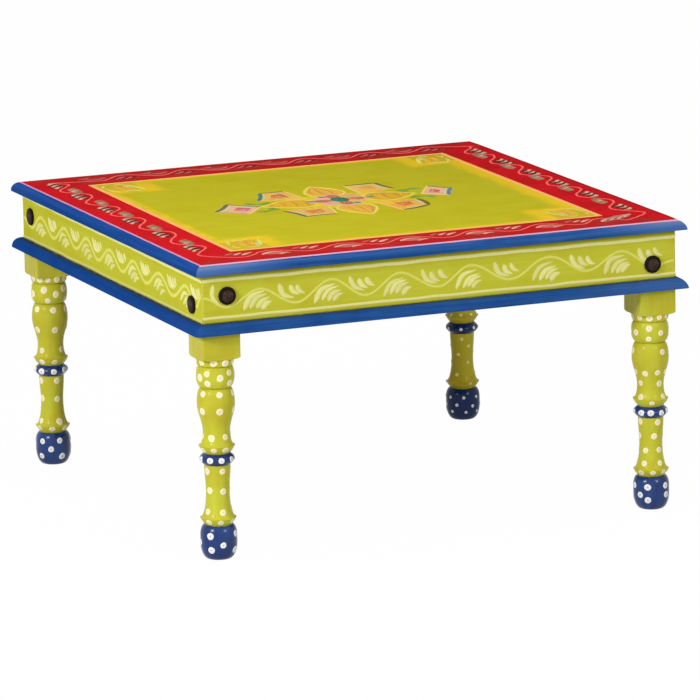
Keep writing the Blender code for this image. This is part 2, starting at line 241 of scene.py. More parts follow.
def useGroup(group, **values):  # each value goes to the socket of its name
    node = addNode(treeOf(*values.values()), "ShaderNodeGroup", node_tree=group)
    for name, value in values.items():
        feed(node.inputs[name], value)
    return node.outputs


# effects that several finishes share

coatGives = {"Color": ("Colour",), "Float": ("Roughness", "Height")}
noiseSpan = (0.3, 0.7)  # where most of a noise lies
brushMarks = {
    "streaks": (0.40, 0.72),  # the part of the ridges that shows paler
    "cloudScale": 16.0,
    "clouds": (0.42, 0.70),
    "fleckScale": 420.0,
    "flecks": (0.60, 0.80),
    "fleckShare": 0.5,
    "streakRough": 0.10,
    "cloudRough": 0.12,
    "cloudHeight": 0.3,
}
sawnWood = {
    "tone": srgb(186, 148, 100),
    "grainTone": srgb(128, 90, 52),
    "rings": (0.35, 0.68),
    "poreScale": 5.0,
    "pores": (0.58, 0.75),
    "poreTone": 0.5,
    "poreDepth": 0.4,
    "rough": (0.68, 0.86),
}
edgeWobble = {"slowScale": 38.0, "fineScale": 320.0, "fineShare": 0.5}
bristleMarks = {
    "stretch": (2.2, 11.0, 1.0),
    "edge": (0.20, 0.5),  # away from the middle of the stroke
    "edgeThin": 0.8,
    "bristles": (0.46, 0.74),
    "bristleThin": 0.5,
    "rough": (0.42, 0.6),
}


def makeBrushedPaint(mark):  # a coat laid on with a brush: streaks along one way, uneven cover, brush ridges
    takes = {"Vector": ("Vector", "Stretch"), "Color": ("Colour", "Pale", "Deep"),
             "Float": ("Streaks", "Mottle", "Sheen")}
    tree, given, out = startGroup("brushedPaint", takes, coatGives)
    vector = given["Vector"]
    ridges = noiseAt(stretched(vector, given["Stretch"]), 1.0, 5.0)
    streak = remap(ridges, *mark["streaks"])
    cloud = remap(noiseAt(vector, mark["cloudScale"], 4.0), *mark["clouds"])
    fleck = remap(noiseAt(vector, mark["fleckScale"], 2.0), *mark["flecks"])
    pale = mixColour(times(streak, given["Streaks"]), given["Colour"], given["Pale"])
    deep = mixColour(times(cloud, given["Mottle"]), pale, given["Deep"])
    flecked = times(fleck, times(given["Mottle"], mark["fleckShare"]))
    feed(out["Colour"], mixColour(flecked, deep, given["Deep"]))
    uneven = plus(times(streak, mark["streakRough"]), times(cloud, mark["cloudRough"]))
    feed(out["Roughness"], plus(given["Sheen"], uneven))
    feed(out["Height"], plus(ridges, times(cloud, mark["cloudHeight"])))
    return tree


def makeTimber(wood):  # bare sawn wood: long grain and pores
    takes = {"Vector": ("Vector", "Stretch"), "Color": ("Colour", "Dark")}
    tree, given, out = startGroup("timber", takes, coatGives)
    along = stretched(given["Vector"], given["Stretch"])
    grain = noiseAt(along, 1.0, 6.0, 0.6)
    pores = remap(noiseAt(along, wood["poreScale"], 2.0), *wood["pores"])
    rings = remap(grain, *wood["rings"])
    tinged = mixColour(rings, given["Colour"], given["Dark"])
    feed(out["Colour"], mixColour(times(pores, wood["poreTone"]), tinged, given["Dark"]))
    feed(out["Roughness"], remap(grain, *noiseSpan, *wood["rough"]))
    feed(out["Height"], minus(grain, times(pores, wood["poreDepth"])))
    return tree


def makePaintEdge(wobble):  # where one paint stops: 1 where Distance is over 0, with a hand-drawn wobble
    takes = {"Vector": ("Vector",), "Float": ("Distance", "Wobble", "Softness")}
    tree, given, out = startGroup("paintEdge", takes, {"Float": ("Mask",)})
    slow = minus(noiseAt(given["Vector"], wobble["slowScale"], 2.0), 0.5)
    fine = minus(noiseAt(given["Vector"], wobble["fineScale"], 3.0), 0.5)
    drift = plus(slow, times(fine, wobble["fineShare"]))
    moved = plus(given["Distance"], times(drift, given["Wobble"]))
    under = times(given["Softness"], -1.0)
    feed(out["Mask"], remap(moved, under, given["Softness"], smooth=True))
    return tree


def makeDryBrush(mark):  # thick paint dragged by a brush: bristle lines along the stroke, thin at its edges
    takes = {"Vector": ("Stroke",), "Color": ("Paint", "Ground")}
    tree, given, out = startGroup("dryBrush", takes, coatGives)
    across = partsOf(given["Stroke"])[1]
    bristles = noiseAt(stretched(given["Stroke"], mark["stretch"]), 1.0, 4.0, 0.65)
    off = unsigned(minus(across, 0.5))
    edge = remap(off, *mark["edge"], smooth=True)
    thin = times(remap(bristles, *mark["bristles"]), mark["bristleThin"])
    bare = plus(thin, times(edge, mark["edgeThin"]), clamp=True)
    feed(out["Colour"], mixColour(bare, given["Paint"], given["Ground"]))
    feed(out["Roughness"], remap(bristles, *noiseSpan, *mark["rough"]))
    feed(out["Height"], bristles)
    return tree


brushedPaint = makeBrushedPaint(brushMarks)
timber = makeTimber(sawnWood)
paintEdge = makePaintEdge(edgeWobble)
dryBrush = makeDryBrush(bristleMarks)


# what every material starts, layers and ends with

brushAlong = (7.0, 260.0, 260.0)  # streaks run with local X
brushDown = (120.0, 120.0, 16.0)  # streaks run with Z
grainAlong = (9.0, 150.0, 150.0)
grainDown = (150.0, 150.0, 9.0)
paintRidge = 0.00012
dabRidge = 0.0001


def startMaterial(name, specular=0.5):
    material = bpy.data.materials.new(name)
    material.use_nodes = True
    tree = material.node_tree
    shader = tree.nodes["Principled BSDF"]
    shader.inputs["Specular IOR Level"].default_value = specular
    return material, tree, shader


def finishMaterial(shader, done, ridge, strength=0.35):
    feed(shader.inputs["Base Color"], done["Colour"])
    feed(shader.inputs["Roughness"], done["Roughness"])
    bump = addNode(shader.id_data, "ShaderNodeBump")
    bump.inputs["Strength"].default_value = strength
    bump.inputs["Distance"].default_value = ridge
    feed(bump.inputs["Height"], done["Height"])
    feed(shader.inputs["Normal"], bump.outputs[0])


def objectVector(tree):
    return addNode(tree, "ShaderNodeTexCoord").outputs["Object"]


def objectPlace(tree):  # object coordinates, whole and as x, y and z
    vector = objectVector(tree)
    return vector, partsOf(vector)


def coat(vector, family, stretch, streaks, mottle, sheen):
    return useGroup(brushedPaint, Vector=vector, Stretch=stretch, Colour=paints[family],
                    Pale=paints[family + "Pale"], Deep=paints[family + "Deep"],
                    Streaks=streaks, Mottle=mottle, Sheen=sheen)


def bareWood(vector, stretch):
    return useGroup(timber, Vector=vector, Stretch=stretch,
                    Colour=sawnWood["tone"], Dark=sawnWood["grainTone"])


def edgeMask(distance, vector, wobble, softness=0.0006):
    edge = useGroup(paintEdge, Distance=distance, Vector=vector, Wobble=wobble, Softness=softness)
    return edge["Mask"]


def layerOf(colour, roughness, height):
    return {"Colour": colour, "Roughness": roughness, "Height": height}


def recoloured(done, colour):  # the same coat in another colour
    return layerOf(colour, done["Roughness"], done["Height"])


def overlay(mask, under, over):  # one coat over another
    return layerOf(mixColour(mask, under["Colour"], over["Colour"]),
                   mixValue(mask, under["Roughness"], over["Roughness"]),
                   mixValue(mask, under["Height"], over["Height"]))


# mesh helpers

def meshOf(name, points, faces, sharpAngle=40.0):
    mesh = bpy.data.meshes.new(name)
    mesh.from_pydata(points, [], faces)
    return cleaned(mesh, sharpAngle)


def cleaned(mesh, sharpAngle=40.0):  # outward faces, smooth apart from real edges
    work = bmesh.new()
    work.from_mesh(mesh)
    bmesh.ops.recalc_face_normals(work, faces=work.faces)
    work.to_mesh(mesh)
    work.free()
    mesh.shade_smooth()
    mesh.set_sharp_from_angle(angle=math.radians(sharpAngle))
    return mesh


def latheMesh(name, profile, segments, sharpAngle=40.0):  # closed; the profile starts and ends on the axis
    points = [(0.0, 0.0, profile[0][1])]
    faces = []
    inner = profile[1:-1]
    for radius, z in inner:
        for step in range(segments):
            turn = 2 * math.pi * step / segments
            points.append((radius * math.cos(turn), radius * math.sin(turn), z))
    points.append((0.0, 0.0, profile[-1][1]))
    for step in range(segments):
        after = (step + 1) % segments
        faces.append((0, 1 + after, 1 + step))
        for ring in range(len(inner) - 1):
            base = 1 + ring * segments
            faces.append((base + step, base + after, base + segments + after, base + segments + step))
        base = 1 + (len(inner) - 1) * segments
        faces.append((base + step, base + after, len(points) - 1))
    return meshOf(name, points, faces, sharpAngle)


def addPiece(name, mesh, material, replaced=(), turn=0, place=(0.0, 0.0, 0.0)):
    piece = bpy.data.objects.new(name, mesh)
    piece.location = place
    piece.rotation_euler.z = turn * math.pi / 2
    bpy.context.scene.collection.objects.link(piece)
    if not mesh.materials:
        mesh.materials.append(material)
    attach(piece, "root")
    if replaced:
        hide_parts(*replaced)
    return piece


def carve(name, base, steps, sharpAngle=40.0):  # Booleans of (operation, mesh) on a base mesh
    blank = bpy.data.objects.new("blank", base)
    bpy.context.scene.collection.objects.link(blank)
    helpers = []
    for operation, mesh in steps:
        helper = bpy.data.objects.new("helper", mesh)
        bpy.context.scene.collection.objects.link(helper)
        change = blank.modifiers.new(operation, "BOOLEAN")
        change.operation = operation
        change.object = helper
        helpers.append(helper)
    bpy.context.view_layer.update()
    made = bpy.data.meshes.new_from_object(blank.evaluated_get(bpy.context.evaluated_depsgraph_get()))
    made.name = name
    for helper in [blank] + helpers:
        bpy.data.objects.remove(helper, do_unlink=True)
    return cleaned(made, sharpAngle)


def boxMesh(low, high, rounding=0.0, uprightOnly=False, segments=3):
    work = bmesh.new()
    bmesh.ops.create_cube(work, size=1.0)
    middle = (Vector(low) + Vector(high)) / 2
    for corner in work.verts:
        corner.co = Vector(c * s for c, s in zip(corner.co, Vector(high) - Vector(low))) + middle
    edges = [e for e in work.edges if not uprightOnly or abs(e.verts[0].co.z - e.verts[1].co.z) > 1e-6]
    if rounding:
        bmesh.ops.bevel(work, geom=edges, offset=rounding, segments=segments, profile=0.5, affect="EDGES")
    mesh = bpy.data.meshes.new("box")
    work.to_mesh(mesh)
    work.free()
    return mesh


def carriedRound(turn, spot):  # a place at the front, taken round to another side
    return Matrix.Rotation(turn * math.pi / 2, 3, "Z") @ Vector(spot)


# profile arcs, as (radius, height) points after the start

def sineRise(share):
    return math.sin(math.pi / 2 * share)


def cosineRise(share):
    return 1 - math.cos(math.pi / 2 * share)


def eased(share):
    return (1 - math.cos(math.pi * share)) / 2


def evenly(share):
    return share


def arcBetween(start, end, steps, outward, upward):  # outward and upward give the share of the way reached
    arc = []
    for step in range(1, steps + 1):
        share = step / steps
        radius = start[0] + (end[0] - start[0]) * outward(share)
        arc.append((radius, start[1] + (end[1] - start[1]) * upward(share)))
    return arc


def quarter(start, end, steps):  # leaves start square to the axis, reaches end along it
    return arcBetween(start, end, steps, sineRise, cosineRise)


def quarterOut(start, end, steps):  # leaves start along the axis, reaches end square to it
    return quarter(end, start, steps)[-2::-1] + [end]


def sway(start, end, steps):  # along the axis at both ends
    return arcBetween(start, end, steps, eased, evenly)


def plump(neck, belly, steps):  # swells from a neck to a belly, less square at the neck than a quarter
    return arcBetween(neck, belly, steps, sineRise, evenly)


# floor, light and camera

stageSpec = {
    "floorSize": 40.0,
    "floorDrop": 0.0004,  # below the feet
    "floorPaint": (0.72, 0.72, 0.72, 1.0),
    "floorRoughness": 0.9,
    "floorShine": 0.1,
    "floorWhite": 0.985,  # how far the floor shows as plain white
    "worldLight": 0.30,
}
lampSpec = {  # place, aim, size, power
    "key": ((-3.9, -1.9, 2.2), (0.0, 0.0, 0.25), 1.1, 128.0),
    "fill": ((1.4, -4.2, 2.2), (0.0, 0.0, 0.25), 1.1, 58.0),
    "overhead": ((-0.2, -0.2, 3.2), (0.0, 0.0, 0.3), 2.0, 39.0),
}
cameraSpec = {  # fitted to the photograph's corners
    "azimuth": -22.65,
    "elevation": 11.86,
    "roll": -1.02,
    "distance": 9.263,
    "target": (0.00885, 0.0, 0.2027),
    "lens": 322.5,
    "sensor": 36.0,
    "clipEnd": 100.0,
}
cornerSigns = ((-1, -1), (1, -1), (1, 1), (-1, 1))  # from the front left round


def seenDirectly(tree):  # 1 for what the eye, a mirror or glass sees, 0 for the light it sheds
    path = addNode(tree, "ShaderNodeLightPath")
    mirrored = larger(path.outputs["Is Glossy Ray"], path.outputs["Is Transmission Ray"])
    return larger(path.outputs["Is Camera Ray"], mirrored)


def makeFloor(spec):
    corner = spec["floorSize"] / 2
    mesh = meshOf("floor", [(x * corner, y * corner, 0) for x, y in cornerSigns], [(0, 1, 2, 3)])
    floor = bpy.data.objects.new("floor", mesh)
    floor.location.z = -spec["floorDrop"]
    bpy.context.scene.collection.objects.link(floor)
    material, tree, shader = startMaterial("paleFloor", spec["floorShine"])
    shader.inputs["Base Color"].default_value = spec["floorPaint"]
    shader.inputs["Roughness"].default_value = spec["floorRoughness"]
    plain = addNode(tree, "ShaderNodeEmission")
    mixed = addNode(tree, "ShaderNodeMixShader")
    feed(mixed.inputs[0], times(seenDirectly(tree), spec["floorWhite"]))
    feed(mixed.inputs[1], shader.outputs[0])
    feed(mixed.inputs[2], plain.outputs[0])
    feed(tree.nodes["Material Output"].inputs["Surface"], mixed.outputs[0])
    mesh.materials.append(material)


def makeWorld(spec):  # plain white to the eye, dimmer as a light
    world = bpy.data.worlds.new("studio")
    world.use_nodes = True
    tree = world.node_tree
    background = tree.nodes["Background"]
    background.inputs["Color"].default_value = (1.0, 1.0, 1.0, 1.0)
    strength = remap(seenDirectly(tree), 0.0, 1.0, spec["worldLight"], 1.0)
    feed(background.inputs["Strength"], strength)
    bpy.context.scene.world = world


def makeLamps():
    for name, (place, aim, size, power) in lampSpec.items():
        lamp = bpy.data.lights.new(name, "AREA")
        lamp.shape = "SQUARE"
        lamp.size = size
        lamp.energy = power
        holder = bpy.data.objects.new(name, lamp)
        holder.location = place
        holder.rotation_euler = (Vector(aim) - Vector(place)).to_track_quat("-Z", "Y").to_euler()
        bpy.context.scene.collection.objects.link(holder)


def makeCamera(spec):
    azimuth = math.radians(spec["azimuth"])
    elevation = math.radians(spec["elevation"])
    level = math.cos(elevation)
    back = Vector((math.sin(azimuth) * level, -math.cos(azimuth) * level, math.sin(elevation)))
    right = Vector((math.cos(azimuth), math.sin(azimuth), 0.0))
    upright = Matrix((right, back.cross(right), back)).transposed()
    spin = upright @ Matrix.Rotation(math.radians(spec["roll"]), 3, "Z")
    camera = bpy.data.cameras.new("photoView")
    camera.lens = spec["lens"]
    camera.sensor_width = spec["sensor"]
    camera.clip_end = spec["clipEnd"]
    holder = bpy.data.objects.new("photoView", camera)
    place = Vector(spec["target"]) + back * spec["distance"]
    holder.matrix_world = Matrix.Translation(place) @ spin.to_4x4()
    bpy.context.scene.collection.objects.link(holder)
    bpy.context.scene.camera = holder


makeFloor(stageSpec)
makeWorld(stageSpec)
makeLamps()
makeCamera(cameraSpec)
bpy.context.scene.view_settings.view_transform = "Standard"
print("stage, lamps and camera set")


# the turned legs

legSpec = {
    "segments": 72, "envelopeSegments": 96, "envelopeMargin": 0.004, "sharpAngle": 32.0, "cutPast": 0.01,
    "blockHeight": 0.0380, "blockRounding": 0.0016, "shoulderRadius": 0.0310, "shoulderHeight": 0.0110,
    "collarRadius": 0.0272, "collarLip": 0.0006, "collarFootRadius": 0.0262, "collarCove": 0.0030,
    "collarNeck": 0.0228, "collarHeight": 0.0110,
    "ballHeight": 0.0315, "ballRadius": 0.0271, "ballNeck": 0.0203,
    "vaseShoulder": 0.0225, "vaseRadius": 0.0270, "vaseTaper": 0.0413, "vaseWaist": 0.0193,
    "vaseFlareHeight": 0.0200, "vaseFlare": 0.0258, "vaseSkirt": 0.0108,
    "ringNeck": 0.0186, "ringHeight": 0.0166, "ringRadius": 0.0250,
    "columnTop": 0.0187, "columnWaist": 0.0168, "columnFlareHeight": 0.0375, "columnFlare": 0.0258,
    "columnSkirt": 0.0098,
    "footNeck": 0.0192, "footShoulder": 0.0150, "footRadius": 0.0262, "footBarrel": 0.0110,
    "footBase": 0.0236, "footFlat": 0.0150,
    "tipWear": 0.0002, "skirtCurve": 1.25,
}
legFinish = {
    "lime": (0.4, 0.6, 0.18),  # streaks, mottle, sheen
    "blue": (0.4, 0.5, 0.10),
    "specular": 0.035,
    "wobble": 0.0012,  # where the two paints meet
    "limeGloss": 0.10,
    "glossRoughness": 0.20,
    "postPaint": 0.004,  # how far the paint goes up the post
    "postEdge": (0.006, 0.001),  # wobble, softness
}
# share of painted shade, gloss of the blue
legCoats = {"legPaint": (0.0, 0.50), "legPaintShaded": (0.55, 0.25)}
blockHalf = (legHigh.x - legLow.x) / 2
boardThickness = apronHigh.y - apronLow.y
legAxis = (legLow.x + legHigh.x) / 2  # the same along x and y, negative at the front left


def stackLegHeights(spec):
    z = {"blockTop": apronLow.z - glueLine, "postTop": legHigh.z}
    z["blockFoot"] = z["blockTop"] - spec["blockHeight"]
    z["ballTop"] = z["blockFoot"] - spec["collarHeight"]
    z["ballFoot"] = z["ballTop"] - spec["ballHeight"]
    z["vaseBelly"] = z["ballFoot"] - spec["vaseShoulder"]
    z["vaseWaist"] = z["vaseBelly"] - spec["vaseTaper"]
    z["vaseFlare"] = z["vaseWaist"] - spec["vaseFlareHeight"]
    z["ringTop"] = z["vaseFlare"] - spec["vaseSkirt"]
    z["ringFoot"] = z["ringTop"] - spec["ringHeight"]
    z["footTop"] = spec["footBase"] + spec["footBarrel"] + spec["footShoulder"]
    z["columnFlare"] = z["footTop"] + spec["columnSkirt"]
    z["columnWaist"] = z["columnFlare"] + spec["columnFlareHeight"]
    return z


def legProfile(spec, z):  # from inside the block down to the floor
    collarFoot = (spec["collarFootRadius"], z["ballTop"] + spec["collarCove"])
    collarNeck = (spec["collarNeck"], z["ballTop"])
    ballBelly = (spec["ballRadius"], (z["ballTop"] + z["ballFoot"]) / 2)
    ballNeck = (spec["ballNeck"], z["ballFoot"])
    vaseBelly = (spec["vaseRadius"], z["vaseBelly"])
    vaseWaist = (spec["vaseWaist"], z["vaseWaist"])
    vaseFlare = (spec["vaseFlare"], z["vaseFlare"])
    ringNeck = (spec["ringNeck"], z["ringTop"])
    ringBelly = (spec["ringRadius"], (z["ringTop"] + z["ringFoot"]) / 2)
    columnTop = (spec["columnTop"], z["ringFoot"])
    columnWaist = (spec["columnWaist"], z["columnWaist"])
    columnFlare = (spec["columnFlare"], z["columnFlare"])
    footNeck = (spec["footNeck"], z["footTop"])
    footHigh = (spec["footRadius"], spec["footBase"] + spec["footBarrel"])
    footLow = (spec["footRadius"], spec["footBase"])
    inBlock = (z["blockFoot"] + z["blockTop"]) / 2
    collar = spec["collarRadius"]
    points = [(0.0, inBlock), (collar, inBlock), (collar, z["blockFoot"] - spec["collarLip"])]
    points += [collarFoot] + quarterOut(collarFoot, collarNeck, 5)
    points += quarter(collarNeck, ballBelly, 9) + quarterOut(ballBelly, ballNeck, 9)
    points += quarter(ballNeck, vaseBelly, 9) + sway(vaseBelly, vaseWaist, 12)
    points += quarterOut(vaseWaist, vaseFlare, 9) + softTip(spec, vaseFlare, ringNeck)
    points += plump(ringNeck, ringBelly, 8) + plump(columnTop, ringBelly, 8)[-2::-1] + [columnTop]
    points += sway(columnTop, columnWaist, 8) + quarterOut(columnWaist, columnFlare, 11)
    points += softTip(spec, columnFlare, footNeck)
    points += quarter(footNeck, footHigh, 8) + [footLow] + quarterOut(footLow, (spec["footFlat"], 0.0), 10)
    return points + [(0.0, 0.0)]


def softTip(spec, tip, neck):  # the worn edge of a flare, then its skirt drawn in to the neck
    run = []
    for share in (0.08, 0.18, 0.32, 0.50, 0.75, 1.0):
        radius = tip[0] + (neck[0] - tip[0]) * share ** spec["skirtCurve"]
        run.append((radius - spec["tipWear"] * (1 - share), tip[1] + (neck[1] - tip[1]) * share))
    return run


def makeLegMesh(spec, z):
    over = z["postTop"] + spec["cutPast"]
    under = z["blockFoot"] - spec["cutPast"]
    low = (-blockHalf, -blockHalf, z["blockFoot"])
    block = boxMesh(low, (blockHalf, blockHalf, z["postTop"]), spec["blockRounding"], uprightOnly=True)
    wide = blockHalf * math.sqrt(2) + spec["envelopeMargin"]
    edge = (wide, z["blockFoot"] + spec["shoulderHeight"])
    envelope = [(0.0, over), (wide, over), edge]
    envelope += quarterOut(edge, (spec["shoulderRadius"], z["blockFoot"] - glueLine), 10)
    envelope += [(spec["shoulderRadius"], under), (0.0, under)]
    kept = blockHalf - boardThickness - glueLine  # the post left inside the two boards
    past = blockHalf + spec["cutPast"]
    notchX = boxMesh((-past, -past, z["blockTop"]), (-kept, past, over))
    notchY = boxMesh((-past, -past, z["blockTop"]), (past, -kept, over))
    return carve("turnedLeg", block, [
        ("INTERSECT", latheMesh("envelope", envelope, spec["envelopeSegments"])),
        ("DIFFERENCE", notchX),
        ("DIFFERENCE", notchY),
        ("UNION", latheMesh("turned", legProfile(spec, z), spec["segments"])),
    ], spec["sharpAngle"])


def makeLegPaint(name, spec, z):
    darker, blueGloss = legCoats[name]
    material, tree, shader = startMaterial(name, spec["specular"])
    vector = objectVector(tree)
    height = partsOf(vector)[2]
    lime = coat(vector, "lime", brushDown, *spec["lime"])
    blue = coat(vector, "navy", brushDown, *spec["blue"])
    foot = edgeMask(minus(z["footTop"], height), vector, spec["wobble"])
    ringLow = edgeMask(minus(height, z["ringFoot"]), vector, spec["wobble"])
    ringHigh = edgeMask(minus(z["ringTop"], height), vector, spec["wobble"])
    isBlue = larger(foot, times(ringLow, ringHigh))
    # painted shade on the back right leg, darkening both paints
    limeCoat = recoloured(lime, mixColour(darker, lime["Colour"], paints["limeDeep"]))
    blueCoat = recoloured(blue, mixColour(darker, blue["Colour"], paints["navyDeep"]))
    painted = overlay(isBlue, limeCoat, blueCoat)
    feed(shader.inputs["Coat Weight"], remap(isBlue, 0.0, 1.0, spec["limeGloss"], blueGloss))
    shader.inputs["Coat Roughness"].default_value = spec["glossRoughness"]
    overBlock = minus(height, z["blockTop"] + spec["postPaint"])
    post = edgeMask(overBlock, vector, *spec["postEdge"])
    done = overlay(post, painted, bareWood(vector, grainDown))
    finishMaterial(shader, done, paintRidge)
    return material


legZ = stackLegHeights(legSpec)
legMesh = makeLegMesh(legSpec, legZ)
legMeshes = {"legPaint": legMesh, "legPaintShaded": legMesh.copy()}
legPaints = {name: makeLegPaint(name, legFinish, legZ) for name in legCoats}
for turn, legName in enumerate(legNames):
    # the back right leg, under the table, takes the painted shade
    coatName = "legPaintShaded" if legName == "leg_back_right" else "legPaint"
    corner = carriedRound(turn, (legAxis, legAxis, 0.0))
    addPiece("turned_" + legName, legMeshes[coatName], legPaints[coatName],
             [legName], turn, corner)
print("legs turned:", len(legMesh.vertices), "points each")


# beads, boards and the top panel, drawn for the front side

beadSpec = {
    "arcSteps": 18,
    "topLip": 0.0016,
    "baseLip": 0.0016,
    "lipRounding": 0.0006,
    "lipChamfer": 0.3,  # share of the rounding
    "sandedRun": 0.034,  # how far along from a corner its sanding reaches
    # paler bead ends per side: wear and painted highlight
    "endWearAndHighlight": {"front": 0.62, "right": 0.25, "back": 0.45, "left": 0.05},
    "sideShade": {"front": 0.0, "right": 0.5, "back": 0.0, "left": 0.55},  # deeper blue on the left and right: painted shade
}
unevenBead = {
    "size": 0.00022,
    "waves": (22, 60, 60),  # along, outward, up
    "evenTo": 0.004,  # how far out it is still even
    "upward": 0.4,
    "topSeed": 3.0,
    "baseSeed": 8.0,
}
topBeadFinish = {
    "coat": (0.42, 0.35, 0.34),  # streaks, mottle, sheen
    "lines": {  # along the shoulder: where the joint's paint ends and the next line ends, the two paints
        "front": (0.0010, 0.0054, "wine", "blush"), "right": (0.0104, 0.0110, "redDeep", "blush"),
        "back": (0.0104, 0.0110, "redDeep", "blush"), "left": (0.0006, 0.0038, "wine", "lilac"),
    },
    "lineDepth": 0.005,  # the lines stop this far below the top
    "lineEdge": (0.0012, 0.0004),  # wobble, softness
    "jointEdge": (0.0008, 0.0003),
    # wear and painted highlight: paler streaks high on the curve, stronger near the ends
    "wearAndHighlightFrom": 0.0085,  # below the top
    "wearAndHighlightFull": 0.0015,
    "wearAndHighlightStretch": (5.0, 150.0, 150.0),
    "wearAndHighlight": (0.45, 0.70, 0.0, 0.5),
    "endRun": 0.13,
    "endWornAndLit": 0.9,
}
baseBeadFinish = {
    "blue": (0.3, 0.4, 0.34),  # streaks, mottle, sheen
    "lime": (0.5, 0.2, 0.40),
    "lapOver": 0.0002,  # where the lime begins, above the bead's top
    "lapEdge": (0.0014, 0.0004),  # wobble, softness
    "dirtWidth": 0.0014,
    "dirtEdge": (0.0014, 0.0010),
    "dirt": 0.6,
    "endRun": 0.2,
    "endWornAndLit": 0.5,
}
boardSpec = {
    "rounding": 0.0007,
    "cornerRounding": 0.0020,
    "coat": (0.35, 0.28, 0.40),  # streaks, mottle, sheen
    "paintDepth": 0.014,  # bare wood further in
    "paintEdge": (0.008, 0.001),  # wobble, softness
    "paledRun": 0.0016,
    "paledEdge": (0.004, 0.0016),
    "paled": 0.12,
    "dirtWidth": 0.0011,
    "dirtEdge": (0.0018, 0.0007),
    "dirt": 0.55,
    "shadeFrom": 0.009,  # painted shade, from this far below the top's bead
    "shadeFull": 0.001,
    "shade": 0.42,
}
topSpec = {
    "rounding": 0.0006,
    "paintDepth": 0.004,  # bare wood further down
    "paintWobble": 0.001,
    "fieldHalf": (0.2866, 0.290),
    "shift": -0.0013,  # the field is painted a little out of square
    "skew": 0.0086,
    "fieldStretch": (9.0, 190.0, 190.0),
    "fieldCoat": (0.3, 0.4, 0.38),  # streaks, mottle, sheen
    "fieldWobble": 0.002,
    "redStretch": (60.0, 60.0, 60.0),
    "redCoat": (0.4, 0.55, 0.36),
    "endEdge": (0.004, 0.003),  # the duller border at front and back: wobble, softness
    "endDeep": 0.45,
    "endCloudScale": 22.0,
    "endClouds": (0.42, 0.66, 0.08, 0.45),
}
bandSpec = {  # the golden band inside the red border
    "cornerSize": 0.062,
    "cornerTone": 0.4,
    "solid": 0.014,
    "end": 0.036,
    "narrowing": (-0.1, 0.1, 1.7, 1.0),  # from left to right
    "endNarrowing": 2.0,  # at front and back
    "cloudScale": 30.0,
    "cloudReach": 0.022,
    "cover": (-0.2, 0.2, 0.45, 0.85),  # from left to right
    "patchScale": 34.0,
    "patches": (0.36, 0.62),
    "edge": (0.006, 0.003),  # wobble, softness
    "strength": 0.92,
}
# the corners from the front left round: rounding in plan, and how far the round is sanded flat
topCorners = ((0.0014, 0.0), (0.0012, 0.25), (0.0020, 0.2), (0.0016, 0.0))
baseCorners = ((0.0095, 0.0), (0.0012, 0.3), (0.0040, 0.2), (0.0020, 0.0))
boardCorners = ((boardSpec["cornerRounding"], 0.0),) * 4
mitreGap = 0.00003  # closed with paint
middleStations = 40
# cross-sections near a corner, by their distance from it
endStations = (0.0, 0.0005, 0.0012, 0.0022, 0.0036, 0.0055, 0.008, 0.0115, 0.016, 0.022, 0.030, 0.040)


def beadOutline(low, high, lip, sanded):  # (outward, up) points round the bead, from the back of its foot
    projection = -half - low.y
    height = high.z - low.z
    rounding = beadSpec["lipRounding"]
    chamfer = rounding * beadSpec["lipChamfer"]
    back = glueLine
    points = [(back, 0.0), (projection - rounding, 0.0)]
    points += [(projection - chamfer, chamfer), (projection, rounding)]
    for step in range(beadSpec["arcSteps"] + 1):
        share = step / beadSpec["arcSteps"]
        out = math.cos(math.pi / 2 * share) * (1 - sanded) + (1 - share) * sanded
        up = math.sin(math.pi / 2 * share) * (1 - sanded) + share * sanded
        points.append((back + (projection - back) * out, lip + (height - lip) * up))
    return points


def boardOutline():
    deep = -boardThickness
    height = apronHigh.z - apronLow.z
    soft = boardSpec["rounding"]
    return [(deep, soft), (deep + soft, 0.0), (-soft, 0.0), (0.0, soft),
            (0.0, height - soft), (-soft, height), (deep + soft, height), (deep, height - soft)]


def placeStations():  # shares of the half length, closer together near the corners
    near = [1 - run / half for run in endStations]
    inner = near[-1]
    middle = [inner * (2 * step / middleStations - 1) for step in range(1, middleStations)]
    return [-share for share in near] + middle + near[::-1]


def unevenAt(x, out, up, seed):
    along, outward, upward = unevenBead["waves"]
    wave = noise.noise(Vector((x * along, out * outward + seed, up * upward)))
    return wave * unevenBead["size"] * max(0.0, min(1.0, out / unevenBead["evenTo"]))


def sweepMitred(name, outlineAt, footZ, corners, roundingAt, seed=None):
    cornerCut = 1 - 1 / math.sqrt(2)  # how much of its radius a rounded corner loses at the mitre
    points = []
    faces = []
    stations = placeStations()
    for share in stations:
        rounding, sanding = corners[0] if share < 0 else corners[1]
        away = (1 - abs(share)) * half
        outline = outlineAt(sanding * max(0.0, 1 - away / beadSpec["sandedRun"]))
        for out, up in outline:
            radius = roundingAt(out, rounding)
            x = share * (half + out - mitreGap - radius * cornerCut)
            left = half + out - abs(x)
            pull = radius - math.sqrt(radius ** 2 - (radius - left) ** 2) if left < radius else 0.0
            drift = 0.0 if seed is None else unevenAt(x, out, up, seed)
            points.append((x, -(half + out - pull) - drift, footZ + up + drift * unevenBead["upward"]))
    count = len(outline)
    for station in range(len(stations) - 1):
        for index in range(count):
            here = station * count + index
            beside = station * count + (index + 1) % count
            faces.append((here, beside, beside + count, here + count))
    faces.append(tuple(range(count)))
    faces.append(tuple(range((len(stations) - 1) * count, len(stations) * count)))
    return meshOf(name, points, faces)


def sweepBead(name, low, high, lip, corners, seed):
    projection = -half - low.y

    def outlineAt(sanded):
        return beadOutline(low, high, lip, sanded)

    def roundingAt(out, rounding):
        return rounding * out / projection

    return sweepMitred(name, outlineAt, low.z, corners, roundingAt, seed)


def sweepBoard(name, corners):
    def roundingAt(out, rounding):  # only the outer face turns the corner
        return rounding if out > -boardSpec["rounding"] * 1.5 else 0.0

    return sweepMitred(name, lambda sanded: boardOutline(), apronLow.z, corners, roundingAt)


